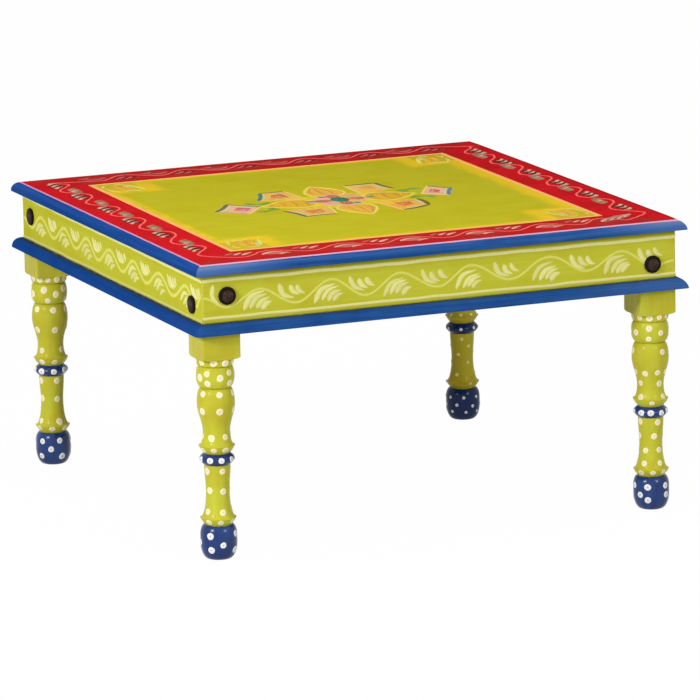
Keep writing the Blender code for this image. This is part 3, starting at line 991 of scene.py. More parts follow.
def makeApronPaint(spec):  # lime, paler at the ends, dirty along the foot bead, with painted shade under the top's bead
    material, tree, shader = startMaterial("limeApron", 0.0)
    vector, place = objectPlace(tree)
    wood = bareWood(vector, grainAlong)
    lime = coat(vector, "lime", brushAlong, *spec["coat"])
    outer = minus(times(place[1], -1.0), half - spec["paintDepth"])
    done = overlay(edgeMask(outer, vector, *spec["paintEdge"]), wood, lime)
    nearEnd = minus(unsigned(place[0]), half - spec["paledRun"])
    paled = times(edgeMask(nearEnd, vector, *spec["paledEdge"]), spec["paled"])
    clean = mixColour(paled, done["Colour"], paints["paled"])
    overBead = minus(baseBeadHigh.z + spec["dirtWidth"], place[2])
    dirty = times(edgeMask(overBead, vector, *spec["dirtEdge"]), spec["dirt"])
    # painted shade on the board just below the top's bead, in the dirt's colour
    shadeLow = topBeadLow.z - spec["shadeFrom"]
    shadeHigh = topBeadLow.z - spec["shadeFull"]
    shaded = remap(place[2], shadeLow, shadeHigh, 0.0, spec["shade"], smooth=True)
    colour = mixColour(larger(dirty, shaded), clean, paints["grimeAndShade"])
    finishMaterial(shader, recoloured(done, colour), paintRidge)
    return material


def makeTopBead(side, spec):  # blue: dark at the joint, a pale line along the shoulder, wear and painted highlight above and at the ends, painted shade on the left and right
    lineInner, lineOuter, jointTone, lineTone = spec["lines"][side]
    material, tree, shader = startMaterial("blueTopBead_" + side, 0.0)
    vector, place = objectPlace(tree)
    blue = coat(vector, "blue", brushAlong, *spec["coat"])
    out = minus(times(place[1], -1.0), half)
    onShoulder = edgeMask(minus(place[2], topZ - spec["lineDepth"]), vector, 0.0)
    inLine = edgeMask(minus(lineOuter, out), vector, *spec["lineEdge"])
    inJoint = edgeMask(minus(lineInner, out), vector, *spec["jointEdge"])
    # wear and painted highlight: paler streaks high on the curve and near the ends
    streaks = noiseAt(stretched(vector, spec["wearAndHighlightStretch"]), 1.0, 4.0)
    high = remap(place[2], topZ - spec["wearAndHighlightFrom"], topZ - spec["wearAndHighlightFull"], smooth=True)
    endRange = (half - spec["endRun"], half, 0.0, beadSpec["endWearAndHighlight"][side])
    nearEnd = remap(unsigned(place[0]), *endRange, smooth=True)
    wearAndHighlight = times(high, remap(streaks, *spec["wearAndHighlight"]))
    paled = mixColour(plus(wearAndHighlight, nearEnd, clamp=True), blue["Colour"], paints["bluePale"])
    endWearAndHighlight = times(nearEnd, times(high, spec["endWornAndLit"]))
    shoulder = mixColour(endWearAndHighlight, paled, paints["blueWornAndLit"])
    # painted shade: deeper blue on the left and right beads
    deeper = mixColour(beadSpec["sideShade"][side], shoulder, paints["blueRich"])
    pale = mixColour(times(inLine, onShoulder), deeper, paints[lineTone])
    colour = mixColour(times(inJoint, onShoulder), pale, paints[jointTone])
    finishMaterial(shader, recoloured(blue, colour), paintRidge)
    return material


def makeBaseBead(side, spec):  # blue, with the apron's lime lapping over its upper edge and dirt along that
    edgeZ = baseBeadHigh.z + spec["lapOver"]
    material, tree, shader = startMaterial("blueBaseBead_" + side, 0.0)
    vector, place = objectPlace(tree)
    blue = coat(vector, "blue", brushAlong, *spec["blue"])
    lime = coat(vector, "lime", brushAlong, *spec["lime"])
    # paler towards the right end: wear and painted highlight
    endWearAndHighlight = beadSpec["endWearAndHighlight"][side] * spec["endWornAndLit"]
    nearEnd = remap(place[0], half - spec["endRun"], half, 0.0, endWearAndHighlight, smooth=True)
    # painted shade: deeper blue on the left and right beads
    deeper = mixColour(beadSpec["sideShade"][side], blue["Colour"], paints["blueRich"])
    worn = mixColour(nearEnd, deeper, paints["bluePale"])
    dirty = edgeMask(minus(place[2], edgeZ - spec["dirtWidth"]), vector, *spec["dirtEdge"])
    soiled = mixColour(times(dirty, spec["dirt"]), worn, paints["grimeAndShade"])
    lap = edgeMask(minus(place[2], edgeZ), vector, *spec["lapEdge"])
    finishMaterial(shader, overlay(lap, recoloured(blue, soiled), lime), paintRidge)
    return material


def makeTopPaint(spec, band):
    fieldX, fieldY = spec["fieldHalf"]
    material, tree, shader = startMaterial("paintedTop", 0.0)
    vector, place = objectPlace(tree)
    drift = plus(times(place[1], spec["skew"]), spec["shift"])
    sideways = unsigned(minus(place[0], drift))
    endways = unsigned(place[1])
    inX = minus(fieldX, sideways)  # how far inside the red border
    inY = minus(fieldY, endways)

    # the field, with its golden band and its corners
    field = coat(vector, "field", spec["fieldStretch"], *spec["fieldCoat"])
    corner = band["cornerSize"]
    pastCorner = larger(minus(inX, corner), minus(inY, corner))
    narrowX = times(inX, remap(place[0], *band["narrowing"]))
    narrowY = times(inY, band["endNarrowing"])
    inside = smaller(smaller(narrowX, narrowY), pastCorner)
    cloudy = times(minus(noiseAt(vector, band["cloudScale"], 4.0), 0.5), band["cloudReach"])
    fade = remap(plus(inside, cloudy), band["solid"], band["end"], 1.0, 0.0, smooth=True)
    cover = remap(place[0], *band["cover"])
    patchy = remap(noiseAt(vector, band["patchScale"], 3.0), *band["patches"], cover, 1.0)
    gold = times(times(fade, patchy), edgeMask(inside, vector, *band["edge"]))
    gilded = mixColour(times(gold, band["strength"]), field["Colour"], paints["golden"])
    inCorner = edgeMask(times(pastCorner, -1.0), vector, *band["edge"])
    cornered = mixColour(times(inCorner, band["cornerTone"]), gilded, paints["ochre"])

    # the red border, duller at front and back
    red = coat(vector, "red", spec["redStretch"], *spec["redCoat"])
    frontAndBack = edgeMask(minus(endways, sideways), vector, *spec["endEdge"])
    tone = mixColour(times(frontAndBack, spec["endDeep"]), red["Colour"], paints["redDeep"])
    clouds = remap(noiseAt(vector, spec["endCloudScale"], 3.0), *spec["endClouds"])
    dull = mixColour(times(frontAndBack, clouds), tone, paints["dusk"])

    outside = edgeMask(times(smaller(inX, inY), -1.0), vector, spec["fieldWobble"])
    painted = overlay(outside, recoloured(field, cornered), recoloured(red, dull))
    upper = edgeMask(minus(place[2], topZ - spec["paintDepth"]), vector, spec["paintWobble"])
    wood = bareWood(vector, grainAlong)
    finishMaterial(shader, overlay(upper, wood, painted), paintRidge)
    return material


apronPaint = makeApronPaint(boardSpec)
for turn, side in enumerate(sideNames):
    ends = (turn, (turn + 1) % 4)
    topMesh = sweepBead("topBead", topBeadLow, topBeadHigh, beadSpec["topLip"],
                        [topCorners[end] for end in ends], unevenBead["topSeed"] + turn)
    baseMesh = sweepBead("baseBead", baseBeadLow, baseBeadHigh, beadSpec["baseLip"],
                         [baseCorners[end] for end in ends], unevenBead["baseSeed"] + turn)
    boardMesh = sweepBoard("apronBoard", [boardCorners[end] for end in ends])
    topBead = makeTopBead(side, topBeadFinish)
    baseBead = makeBaseBead(side, baseBeadFinish)
    addPiece("edgeBead_" + side, topMesh, topBead, ["top_bead_" + side], turn)
    addPiece("footBead_" + side, baseMesh, baseBead, ["base_bead_" + side], turn)
    addPiece("board_" + side, boardMesh, apronPaint, ["apron_" + side], turn)
panelMesh = cleaned(boxMesh(panelLow, panelHigh, topSpec["rounding"]))
addPiece("paintedTop", panelMesh, makeTopPaint(topSpec, bandSpec), ["top_panel"])
print("beads, boards and top laid")


# bolts, and the hardware left inside

boltSpec = {
    "segments": 40,
    "sharpAngle": 30.0,
    "headRadius": (boltHigh.x - boltLow.x) / 2,
    "rim": 0.0024,
    "rimEdge": (0.0004, 0.0003),  # how far in and up its lower edge is broken
    "flange": 0.0038,
    "crownRadius": 0.0084,
    "crown": 0.0056,
    "grooveDepth": 0.0003,  # round the crown
    "grooveFloor": (0.0004, 0.0002),  # its outer edge, out from the crown and down
    "grooveWidth": 0.0006,
    "shank": 0.0040,
    "threadPitch": 0.00125,
    "threadTurns": 10,
    "threadDepth": 0.0004,
}
ironFinish = {  # black on the rim, browner and paler on the crown
    "rim": srgb(30, 21, 18),
    "crown": (srgb(52, 38, 31), srgb(80, 63, 52)),
    "crownEdge": (0.0012, 0.0008),  # outside and inside the crown's radius
    "pitScale": 900.0,
    "pitDepth": 0.0003,
    "pitStrength": 0.5,
    "cloudScale": 180.0,
    "clouds": (0.4, 0.7),
    "rough": (0.38, 0.6),
    "specular": 0.04,
}
zincFinish = {
    "tones": (srgb(196, 196, 190), srgb(142, 140, 130)),
    "cloudScale": 260.0,
    "clouds": (0.35, 0.7),
    "rough": (0.32, 0.5),
    "metallic": 0.9,
    "ridge": 0.0001,
}
cleatFinish = {"grain": (40.0, 40.0, 120.0), "ridge": 0.0003}


def boltProfile(spec, reach):  # head up, seated at height 0
    head, crown, flange, shank = (spec[name] for name in ("headRadius", "crownRadius", "flange", "shank"))
    summit = (0.0, spec["crown"])
    points = [summit] + quarter(summit, (crown, flange - spec["grooveDepth"]), 8)
    points += [(crown + spec["grooveFloor"][0], flange - spec["grooveFloor"][1])]
    points += quarter((crown + spec["grooveWidth"], flange), (head, spec["rim"]), 7)
    points += [(head, spec["rimEdge"][1]), (head - spec["rimEdge"][0], 0.0), (shank, 0.0)]
    start = -reach + spec["threadTurns"] * spec["threadPitch"]
    for step in range(spec["threadTurns"]):
        z = start - step * spec["threadPitch"]
        points += [(shank, z), (shank - spec["threadDepth"], z - spec["threadPitch"] / 2)]
    return points + [(shank - 2 * spec["threadDepth"], -reach), (0.0, -reach)]


def makeDarkIron(spec):
    material, tree, shader = startMaterial("twoToneIron", spec["specular"])
    vector, place = objectPlace(tree)
    pits = noiseAt(vector, spec["pitScale"], 4.0)
    cloud = remap(noiseAt(vector, spec["cloudScale"], 3.0), *spec["clouds"])
    squares = plus(calc("POWER", place[0], 2.0), calc("POWER", place[2], 2.0))
    reach = calc("POWER", squares, 0.5)
    crownRadius = boltSpec["crownRadius"]
    outside, within = spec["crownEdge"]
    onCrown = remap(reach, crownRadius + outside, crownRadius - within, smooth=True)
    colour = mixColour(onCrown, spec["rim"], mixColour(cloud, *spec["crown"]))
    done = layerOf(colour, remap(pits, *noiseSpan, *spec["rough"]), pits)
    finishMaterial(shader, done, spec["pitDepth"], spec["pitStrength"])
    return material


def makePlatedSteel(spec):
    material, tree, shader = startMaterial("dullZinc")
    cloud = noiseAt(objectVector(tree), spec["cloudScale"], 4.0)
    colour = mixColour(remap(cloud, *spec["clouds"]), *spec["tones"])
    shader.inputs["Metallic"].default_value = spec["metallic"]
    done = layerOf(colour, remap(cloud, *noiseSpan, *spec["rough"]), cloud)
    finishMaterial(shader, done, spec["ridge"])
    return material


def makeBareCleat(spec):
    material, tree, shader = startMaterial("bareCleat")
    finishMaterial(shader, bareWood(objectVector(tree), spec["grain"]), spec["ridge"])
    return material


boltReach = boltHigh.y - boltLow.y - boltSpec["crown"]
boltShape = boltProfile(boltSpec, boltReach)
boltMesh = latheMesh("domedBolt", boltShape, boltSpec["segments"], boltSpec["sharpAngle"])
boltMesh.transform(Matrix.Rotation(math.pi / 2, 4, "X"))  # head outward on the front side
twoToneIron = makeDarkIron(ironFinish)
dullZinc = makePlatedSteel(zincFinish)
bareCleat = makeBareCleat(cleatFinish)
for turn, side in enumerate(sideNames):
    ends = (sideNames[turn - 1], sideNames[(turn + 1) % 4])  # the sides it meets at its left and right
    for end, sign in zip(ends, (-1, 1)):
        low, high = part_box("bolt_front_" + ("left" if sign < 0 else "right"))
        middle = (low + high) / 2
        seat = carriedRound(turn, (middle.x, low.y + boltSpec["crown"], middle.z))
        bolt = "bolt_" + side + "_" + end
        addPiece("domedBolt_" + side + "_" + end, boltMesh, twoToneIron, [bolt], turn, seat)
hardware = {"washer_": dullZinc, "nut_": dullZinc, "screw_": dullZinc, "cleat_": bareCleat}
for name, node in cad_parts.items():
    for kind, material in hardware.items():
        if name.startswith(kind):
            for slot in node.material_slots:
                slot.material = material
print("hardware set")


# brushwork: each stroke is a thin closed ribbon of paint, drawn on a flat face

brushSpec = {
    "lift": 0.00026,
    "liftDrift": 0.00003,
    "layerLift": 0.35,  # share of the lift, for each layer of paint below
    "sunk": 0.00012,
    "across": ((-1.0, None), (-0.7, 0.75), (0.0, 1.0), (0.7, 0.75), (1.0, None)),  # place, share of the lift
    "bristleRun": 0.010,  # the length over which the bristle lines change
    "bristleShift": 90.0,
    "sharpestTurn": 0.6,
    "unsteady": 0.0004,
    "tint": 0.06,
    "smoothTo": 70.0,
    "leafNudge": (0.0008, 0.0007),
    "groupNudge": (0.0010, 0.0007),
    "leafBulge": 0.02,
    "leafWidth": (0.85, 1.15),
}
patchSpec = {"lift": 0.5, "inset": 0.95, "streak": 0.24, "streaks": 500}


def startWork():
    return {"points": [], "faces": [], "stroke": [], "paint": [], "ground": []}


def addPoint(work, point, stroke, paintTone, groundTone):
    work["points"].append(point)
    work["stroke"].append(stroke)
    work["paint"].append(paintTone)
    work["ground"].append(groundTone)


def onBoard(u, v, lift):  # the front board's outer face: along it and up
    return (u, -half - lift, v)


def onTop(u, v, lift):
    return (u, v, topZ + lift)


def tinted(name):  # a paint as it leaves the brush this time
    change = 1 + hand.uniform(-brushSpec["tint"], brushSpec["tint"])
    return (*[min(1.0, level * change) for level in paints[name][:3]], 1.0)


# the width of a stroke along its length

def lineShape(share):
    return 1.0


def leafShape(share):  # set down full, lifted off to a point
    full = math.sqrt(min(1.0, 0.06 + share / 0.2))
    return full * (1 - 0.84 * max(0.0, (share - 0.4) / 0.6) ** 1.5)


def bluntShape(share):
    return min(1.0, 0.55 + share * 3.0, 0.55 + (1 - share) * 3.0)


def roundShape(share):
    return 0.3 + 0.7 * math.sin(math.pi * share ** 1.3) ** 0.6


def lensShape(share):
    return 0.12 + 0.88 * math.sin(math.pi * share) ** 0.7


def addStroke(work, face, path, width, paint, ground, shape=lineShape, closed=False, layer=0):
    count = len(path)
    first = len(work["points"])
    lift = brushSpec["lift"] * (1 + brushSpec["layerLift"] * layer)
    lift += hand.uniform(0.0, brushSpec["liftDrift"])
    paintTone = tinted(paint)
    shift = hand.uniform(0.0, brushSpec["bristleShift"])
    run = 0.0
    for index in range(count):
        here = Vector(path[index])
        before = Vector(path[index - 1]) if closed or index else here
        after = Vector(path[(index + 1) % count]) if closed or index < count - 1 else here
        run += (here - before).length if index else 0.0
        inward = (here - before).normalized() if here != before else (after - here).normalized()
        outward = (after - here).normalized() if after != here else inward
        heading = (inward + outward).normalized()
        side = Vector((-heading.y, heading.x)) / max(brushSpec["sharpestTurn"], heading.dot(inward))
        reach = width / 2 * shape(index / (count - 1))
        for across, share in brushSpec["across"]:
            spot = here + side * reach * across
            height = -brushSpec["sunk"] if share is None else lift * share
            stroke = (shift + run / brushSpec["bristleRun"], 0.5 + across / 2)
            addPoint(work, face(spot.x, spot.y, height), stroke, paintTone, paints[ground])
    ring = len(brushSpec["across"])
    for index in range(count if closed else count - 1):
        now = first + index * ring
        then = first + (index + 1) % count * ring
        for step in range(ring):
            following = (step + 1) % ring
            work["faces"].append((now + step, now + following, then + following, then + step))
    if not closed:
        work["faces"].append(tuple(first + step for step in range(ring)))
        work["faces"].append(tuple(first + (count - 1) * ring + step for step in range(ring)))


def addPatch(work, face, outline, paint, ground, heading, layer=0):  # a closed thin fill
    first = len(work["points"])
    count = len(outline)
    lift = brushSpec["lift"] * (patchSpec["lift"] + brushSpec["layerLift"] * layer)
    paintTone = tinted(paint)
    middle = sum((Vector(spot) for spot in outline), Vector((0.0, 0.0))) / count
    along = Vector((math.cos(heading), math.sin(heading)))
    shift = hand.uniform(0.0, brushSpec["bristleShift"])
    for share, height in ((1.0, -brushSpec["sunk"]), (patchSpec["inset"], lift)):
        for corner in outline:
            spot = middle + (Vector(corner) - middle) * share
            away = spot - middle
            across = away.x * along.y - away.y * along.x
            streak = 0.5 + patchSpec["streak"] * math.sin(across * patchSpec["streaks"])
            stroke = (shift + away.dot(along) / brushSpec["bristleRun"], streak)
            addPoint(work, face(spot.x, spot.y, height), stroke, paintTone, paints[ground])
    for index in range(count):
        after = (index + 1) % count
        work["faces"].append((first + index, first + after, first + count + after, first + count + index))
    work["faces"].append(tuple(first + index for index in range(count)))
    work["faces"].append(tuple(first + count + index for index in range(count)))


def smoothPath(knots, steps, closed=False):  # a soft curve through the knots
    path = []
    count = len(knots)
    points = [Vector(knot) for knot in knots]
    for span in range(count if closed else count - 1):
        b = points[span]
        c = points[(span + 1) % count]
        a = points[span - 1] if closed or span else b * 2 - c
        d = points[(span + 2) % count] if closed or span < count - 2 else c * 2 - b
        for step in range(steps):
            t = step / steps
            slope = (c - a) * t
            bend = (a * 2 - b * 5 + c * 4 - d) * t * t
            swing = (b * 3 - a - c * 3 + d) * t ** 3
            path.append((b * 2 + slope + bend + swing) / 2)
    return path if closed else path + [points[-1]]


def bowed(start, end, bulge, steps=7):  # an arc, bulging to the left of its heading by a share of its length
    start = Vector(start)
    end = Vector(end)
    along = end - start
    middle = (start + end) / 2 + Vector((-along.y, along.x)) * bulge
    return smoothPath([start, middle, end], steps)


def shaky(path):
    shaken = []
    for spot in path:
        shake = Vector((hand.gauss(0, 1), hand.gauss(0, 1)))
        shaken.append(Vector(spot) + shake * brushSpec["unsteady"])
    return shaken


def straight(start, end, steps):
    start = Vector(start)
    return [start + (Vector(end) - start) * (step / steps) for step in range(steps + 1)]


def wavy(path, amount, waves=30):  # a slow drift, as of a hand moving along
    seed = hand.uniform(0.0, 50.0)
    drifted = []
    for spot in path:
        drift = noise.noise(Vector((spot.x * waves, spot.y * waves, seed))) * amount
        drifted.append(spot + Vector((0.0, drift)))
    return drifted


def nudged(spot, reach):  # where the brush really comes down
    return spot + Vector((hand.gauss(0, reach[0]), hand.gauss(0, reach[1])))


def addLeaf(work, face, spot, stroke, width, paint, ground, layer):
    start, end, bulge = stroke
    path = bowed(spot + Vector(start), spot + Vector(end), bulge + hand.gauss(0, brushSpec["leafBulge"]))
    width *= hand.uniform(*brushSpec["leafWidth"])
    addStroke(work, face, path, width, paint, ground, leafShape, layer=layer)


def ovalSpots(middle, reach, count):
    return [Vector(middle) + Vector((math.cos(turn) * reach[0], math.sin(turn) * reach[1]))
            for turn in [2 * math.pi * step / count for step in range(count)]]


def finishWork(name, work, material, turn=0, place=(0.0, 0.0, 0.0)):
    mesh = meshOf(name, work["points"], work["faces"], brushSpec["smoothTo"])
    layer = mesh.uv_layers.new(name="stroke")
    corners = []
    for loop in mesh.loops:
        corners += work["stroke"][loop.vertex_index]
    layer.uv.foreach_set("vector", corners)
    for tone in ("paint", "ground"):
        colours = mesh.color_attributes.new(tone, "FLOAT_COLOR", "POINT")
        colours.data.foreach_set("color", [level for colour in work[tone] for level in colour])
    return addPiece(name, mesh, material, turn=turn, place=place)


def colourOf(tree, name):  # a colour kept on the points of a mesh
    return addNode(tree, "ShaderNodeAttribute", attribute_name=name).outputs["Color"]


def strokeVector(tree):  # along and across a stroke
    return addNode(tree, "ShaderNodeUVMap", uv_map="stroke").outputs[0]


def makeStrokePaint():  # ornament paint, read along each stroke
    material, tree, shader = startMaterial("brushStrokes", 0.0)
    paint = colourOf(tree, "paint")
    ground = colourOf(tree, "ground")
    done = useGroup(dryBrush, Stroke=strokeVector(tree), Paint=paint, Ground=ground)
    finishMaterial(shader, done, dabRidge)
    return material


strokePaint = makeStrokePaint()


# vines along the boards, measured along each side from its middle

boardVine = {
    "centre": 0.3774,
    "turnSteps": 12,
    "drift": 0.0012,
    "lineInset": 0.0005,
    "lineSteps": 60,
}
# leaf strokes from the vine's centre line: start, end and bulge
underCrest = (
    ((-0.0250, -0.0194), (0.0064, 0.0056), 0.20),
    ((-0.0142, -0.0174), (0.0112, 0.0014), 0.18),
    ((-0.0054, -0.0180), (0.0146, -0.0034), 0.16),
    ((0.0030, -0.0196), (0.0176, -0.0090), 0.14),
)
overTrough = (
    ((-0.0262, 0.0144), (-0.0036, -0.0078), -0.20),
    ((-0.0115, 0.0100), (0.0026, -0.0044), -0.17),
    ((-0.0005, 0.0114), (0.0130, -0.0016), -0.15),
)
flatCrest = (
    ((-0.0215, -0.0130), (0.0110, 0.0000), 0.20),
    ((-0.0110, -0.0160), (0.0170, -0.0060), 0.17),
    ((0.0010, -0.0190), (0.0220, -0.0105), 0.14),
)
handTrough = (
    ((-0.0205, 0.0165), (0.0060, -0.0012), -0.20),
    ((-0.0110, 0.0150), (0.0095, 0.0010), -0.18),
    ((-0.0010, 0.0145), (0.0130, 0.0030), -0.16),
    ((0.0095, 0.0155), (0.0175, 0.0055), -0.14),
)
endLeaf = (((-0.0203, 0.0220), (-0.0098, -0.0085), -0.18),)


def level(places, rise):  # turns of the vine that are all at one height
    return tuple((x, rise) for x in places)


# per side: the vine's ends and turns, widths and leaves, then each line's end heights, width and paint
boardSides = {
    "front": {
        "start": (-0.365, 0.381), "end": (0.3635, 0.3677), "vineWidth": 0.0046, "leafWidth": 0.0094,
        "crests": ((-0.280, 0.0088), (-0.1714, 0.0129), (-0.066, 0.0124), (0.045, 0.0129), (0.1656, 0.0149),
                   (0.2785, 0.0121)),
        "troughs": ((-0.329, -0.0124), (-0.2235, -0.0150), (-0.117, -0.0144), (-0.006, -0.0134),
                    (0.1065, -0.0123), (0.226, -0.0113), (0.333, -0.0144)),
        "leaves": (underCrest, overTrough, endLeaf), "leafPaints": ("milk", "milk"),
        "lines": ((0.4045, 0.4034, 0.0062, "cream"), (0.3514, 0.3503, 0.0052, "cream")),
    },
    "right": {
        "start": (-0.362, 0.380), "end": (0.362, 0.382), "vineWidth": 0.0060, "leafWidth": 0.0092,
        "crests": level((-0.283, -0.184, -0.090, 0.006, 0.101, 0.199, 0.296), 0.0114),
        "troughs": level((-0.329, -0.233, -0.137, -0.042, 0.053, 0.150, 0.247, 0.338), -0.0116),
        "leaves": (flatCrest, handTrough, endLeaf), "leafPaints": ("milk", "cream"),
        "lines": ((0.4044, 0.4040, 0.0056, "cream"), (0.3478, 0.3480, 0.0054, "dullCream")),
    },
    "back": {
        "start": (-0.362, 0.381), "end": (0.361, 0.368), "vineWidth": 0.0048, "leafWidth": 0.0088,
        "crests": level((-0.276, -0.170, -0.061, 0.047, 0.160, 0.274), 0.0124),
        "troughs": level((-0.327, -0.224, -0.116, -0.007, 0.103, 0.217, 0.328), -0.0130),
        "leaves": (underCrest, overTrough, endLeaf), "leafPaints": ("milk", "milk"),
        "lines": ((0.4036, 0.4030, 0.0062, "cream"), (0.3500, 0.3508, 0.0052, "cream")),
    },
    "left": {
        "start": (-0.362, 0.376), "end": (0.362, 0.382), "vineWidth": 0.0068, "leafWidth": 0.0094,
        "crests": level((-0.2875, -0.1873, -0.0924, 0.003, 0.0988, 0.2015, 0.3045), 0.0106),
        "troughs": level((-0.328, -0.2348, -0.1398, -0.0462, 0.0513, 0.147, 0.2528, 0.344), -0.0122),
        "leaves": (flatCrest, handTrough, ()), "leafPaints": ("milk", "cream"),
        "lines": ((0.4070, 0.4046, 0.0052, "cream"), (0.3472, 0.3472, 0.0054, "dullCream")),
    },
}


def vinePath(spec, side):  # eased from turn to turn
    turns = sorted((x, spec["centre"] + rise) for x, rise in side["crests"] + side["troughs"])
    turns = [side["start"]] + turns + [side["end"]]
    path = []
    for here, there in zip(turns, turns[1:]):
        for step in range(spec["turnSteps"]):
            share = step / spec["turnSteps"]
            x = here[0] + (there[0] - here[0]) * share
            path.append(Vector((x, here[1] + (there[1] - here[1]) * eased(share))))
    return path + [Vector(side["end"])]


def addLeaves(work, place, strokes, width, paint):
    for stroke in strokes:
        spot = nudged(place, brushSpec["leafNudge"])
        addLeaf(work, onBoard, spot, stroke, width, paint, "lime", 0.8)


def paintBoard(spec, side):
    work = startWork()
    underLeaves, overLeaves, firstLeaves = side["leaves"]
    underPaint, overPaint = side["leafPaints"]
    reach = half - spec["lineInset"]
    for startZ, endZ, width, paint in side["lines"]:
        line = wavy(straight((-reach, startZ), (reach, endZ), spec["lineSteps"]), spec["drift"])
        addStroke(work, onBoard, line, width, paint, "lime")
    vine = wavy(vinePath(spec, side), spec["drift"])
    addStroke(work, onBoard, vine, side["vineWidth"], "palm", "lime", layer=0.4)
    for crest in side["crests"]:
        place = Vector((crest[0], spec["centre"]))
        addLeaves(work, place, underLeaves, side["leafWidth"], underPaint)
    for index, trough in enumerate(side["troughs"]):
        place = Vector((trough[0], spec["centre"]))
        addLeaves(work, place, overLeaves if index else firstLeaves, side["leafWidth"], overPaint)
    return work


for turn, side in enumerate(sideNames):
    finishWork("vine_" + side, paintBoard(boardVine, boardSides[side]), strokePaint, turn)
print("boards painted")


# lines, vine and leaves round the top

topLine = {"reach": (0.2858, 0.2892), "width": 0.0082, "steps": 40}
topVine = {
    "amplitude": 0.0148,
    "lineWidth": 0.0042,
    "turnShape": ((0.3, 0.19), (0.7, 0.81)),  # shares of the way along and across from turn to turn
    "knotSteps": 4,
}
smearSpec = {"points": 20, "ragged": (0.84, 1.10)}
darkStroke = 0.62  # a soot stroke's share of its neighbours' width
# per side: the vine's first corner, its distance out, bare turns, turns outward and inward, extra leaf groups
topSides = {
    "front": {
        "corner": (-0.324, -0.322), "distance": 0.3245, "bare": ((0.270, -0.3110), (0.3065, -0.3380)),
        "outer": (-0.294, -0.189, -0.083, 0.023, 0.126, 0.231),
        "inner": (-0.243, -0.131, -0.030, 0.0735, 0.178),
        "dense": ((0.2970, -0.3170),),
    },
    "right": {
        "corner": (-0.3185, -0.3335), "distance": 0.3350, "bare": ((-0.300, -0.3498), (0.325, -0.3498)),
        "outer": (-0.188, -0.075, 0.030, 0.135, 0.238),
        "inner": (-0.250, -0.135, -0.030, 0.069, 0.1745, 0.272),
    },
    "back": {
        "corner": (-0.350, -0.324), "distance": 0.3330, "bare": (),
        "outer": (-0.290, -0.188, -0.082, 0.014, 0.113, 0.211),
        "inner": (-0.238, -0.136, -0.034, 0.0635, 0.162, 0.261),
    },
    "left": {
        "corner": (-0.334, -0.334), "distance": 0.3275, "bare": ((0.300, -0.3423),),
        "outer": (-0.262, -0.151, -0.049, 0.069, 0.195),
        "inner": (-0.315, -0.215, -0.100, 0.003, 0.123, 0.241),
    },
}


def squareLoop(reach, steps):
    corners = []
    for signX, signY in cornerSigns:
        x, y = signX * reach[0], signY * reach[1]
        corners.append((x + topSpec["shift"] + topSpec["skew"] * y, y))
    loop = []
    for start, end in zip(corners, corners[1:] + corners[:1]):
        loop += straight(start, end, steps)[:-1]
    return loop


def sideFace(turn):  # a flat face of the top turned to one side: along it and inward
    spin = Matrix.Rotation(turn * math.pi / 2, 2)
    return lambda u, v, lift: onTop(*(spin @ Vector((u, v))), lift)


def slantedRow(middle, spread, lean, reach, bulge, width, tones):  # leaning strokes, side by side
    way = Vector((math.cos(math.radians(lean)), math.sin(math.radians(lean)))) * reach / 2
    row = []
    for index, tone in enumerate(tones):
        spot = Vector(middle) + Vector((spread * (index / (len(tones) - 1) - 0.5), 0.0))
        share = darkStroke if tone == "soot" else 1.0
        row.append((tuple(spot - way), tuple(spot + way), bulge, width * share, tone))
    return tuple(row)


# leaf groups in the vine's turns
# each a smear (middle, reach, tilt, tone), then strokes (start, end, bulge, width, tone)
slantedLeaves = (((0.0030, 0.0085), (0.0220, 0.0080), -12, "dusk"), (
    ((-0.0165, 0.0085), (-0.0010, 0.0185), 0.06, 0.0074, "petalDust"),
    ((-0.0050, 0.0045), (0.0100, 0.0165), 0.06, 0.0080, "mauve"),
    ((0.0055, 0.0000), (0.0250, 0.0145), 0.06, 0.0092, "mauve"),
))
archedLeaves = (((0.0010, -0.0060), (0.0200, 0.0095), -6, "petalDust"), (
    ((-0.0195, -0.0090), (0.0150, 0.0000), 0.20, 0.0080, "bone"),
    ((-0.0080, -0.0130), (0.0210, -0.0060), 0.18, 0.0070, "petalDust"),
    ((0.0040, -0.0165), (0.0230, -0.0115), 0.14, 0.0070, "bone"),
))
greyLeaves = (((0.0052, 0.0052), (0.0245, 0.0092), -6, "olive"), slantedRow(
    (0.0052, 0.0052), 0.0330, 128, 0.0180, 0.08, 0.0078, ("ash", "ash", "bone", "ash", "petalDust")))
denseLeaves = (((0.0000, 0.0000), (0.0340, 0.0110), 28, "ash"), (
    ((-0.0310, -0.0190), (-0.0110, -0.0040), 0.06, 0.0074, "bone"),
    ((-0.0220, -0.0165), (-0.0060, -0.0020), 0.06, 0.0044, "soot"),
    ((-0.0160, -0.0140), (0.0030, 0.0020), 0.06, 0.0074, "bone"),
    ((-0.0080, -0.0105), (0.0090, 0.0045), 0.06, 0.0044, "soot"),
    ((-0.0010, -0.0085), (0.0170, 0.0085), 0.06, 0.0074, "bone"),
    ((0.0070, -0.0050), (0.0230, 0.0115), 0.06, 0.0044, "soot"),
    ((0.0110, -0.0020), (0.0310, 0.0170), 0.06, 0.0080, "bone"),
))
darkLeaves = (((0.0072, -0.0053), (0.0240, 0.0118), 8, "umber"), slantedRow(
    (0.0072, -0.0053), 0.0310, 132, 0.0200, 0.22, 0.0098, ("bone", "soot", "bone", "soot", "mauve")))
dullTones = {"dusk": "umber", "petalDust": "dusk", "mauve": "petalDust", "bone": "petalDust"}


def dulled(leaves):  # the same group in darker paint
    (middle, reach, tilt, base), strokes = leaves
    darker = tuple((*stroke[:4], dullTones[stroke[4]]) for stroke in strokes)
    return (middle, reach, tilt, dullTones[base]), darker


borderLeaves = {  # for turns outward and inward
    "front": (slantedLeaves, archedLeaves), "right": (greyLeaves, darkLeaves),
    "back": (dulled(slantedLeaves), dulled(archedLeaves)), "left": (greyLeaves, darkLeaves),
}


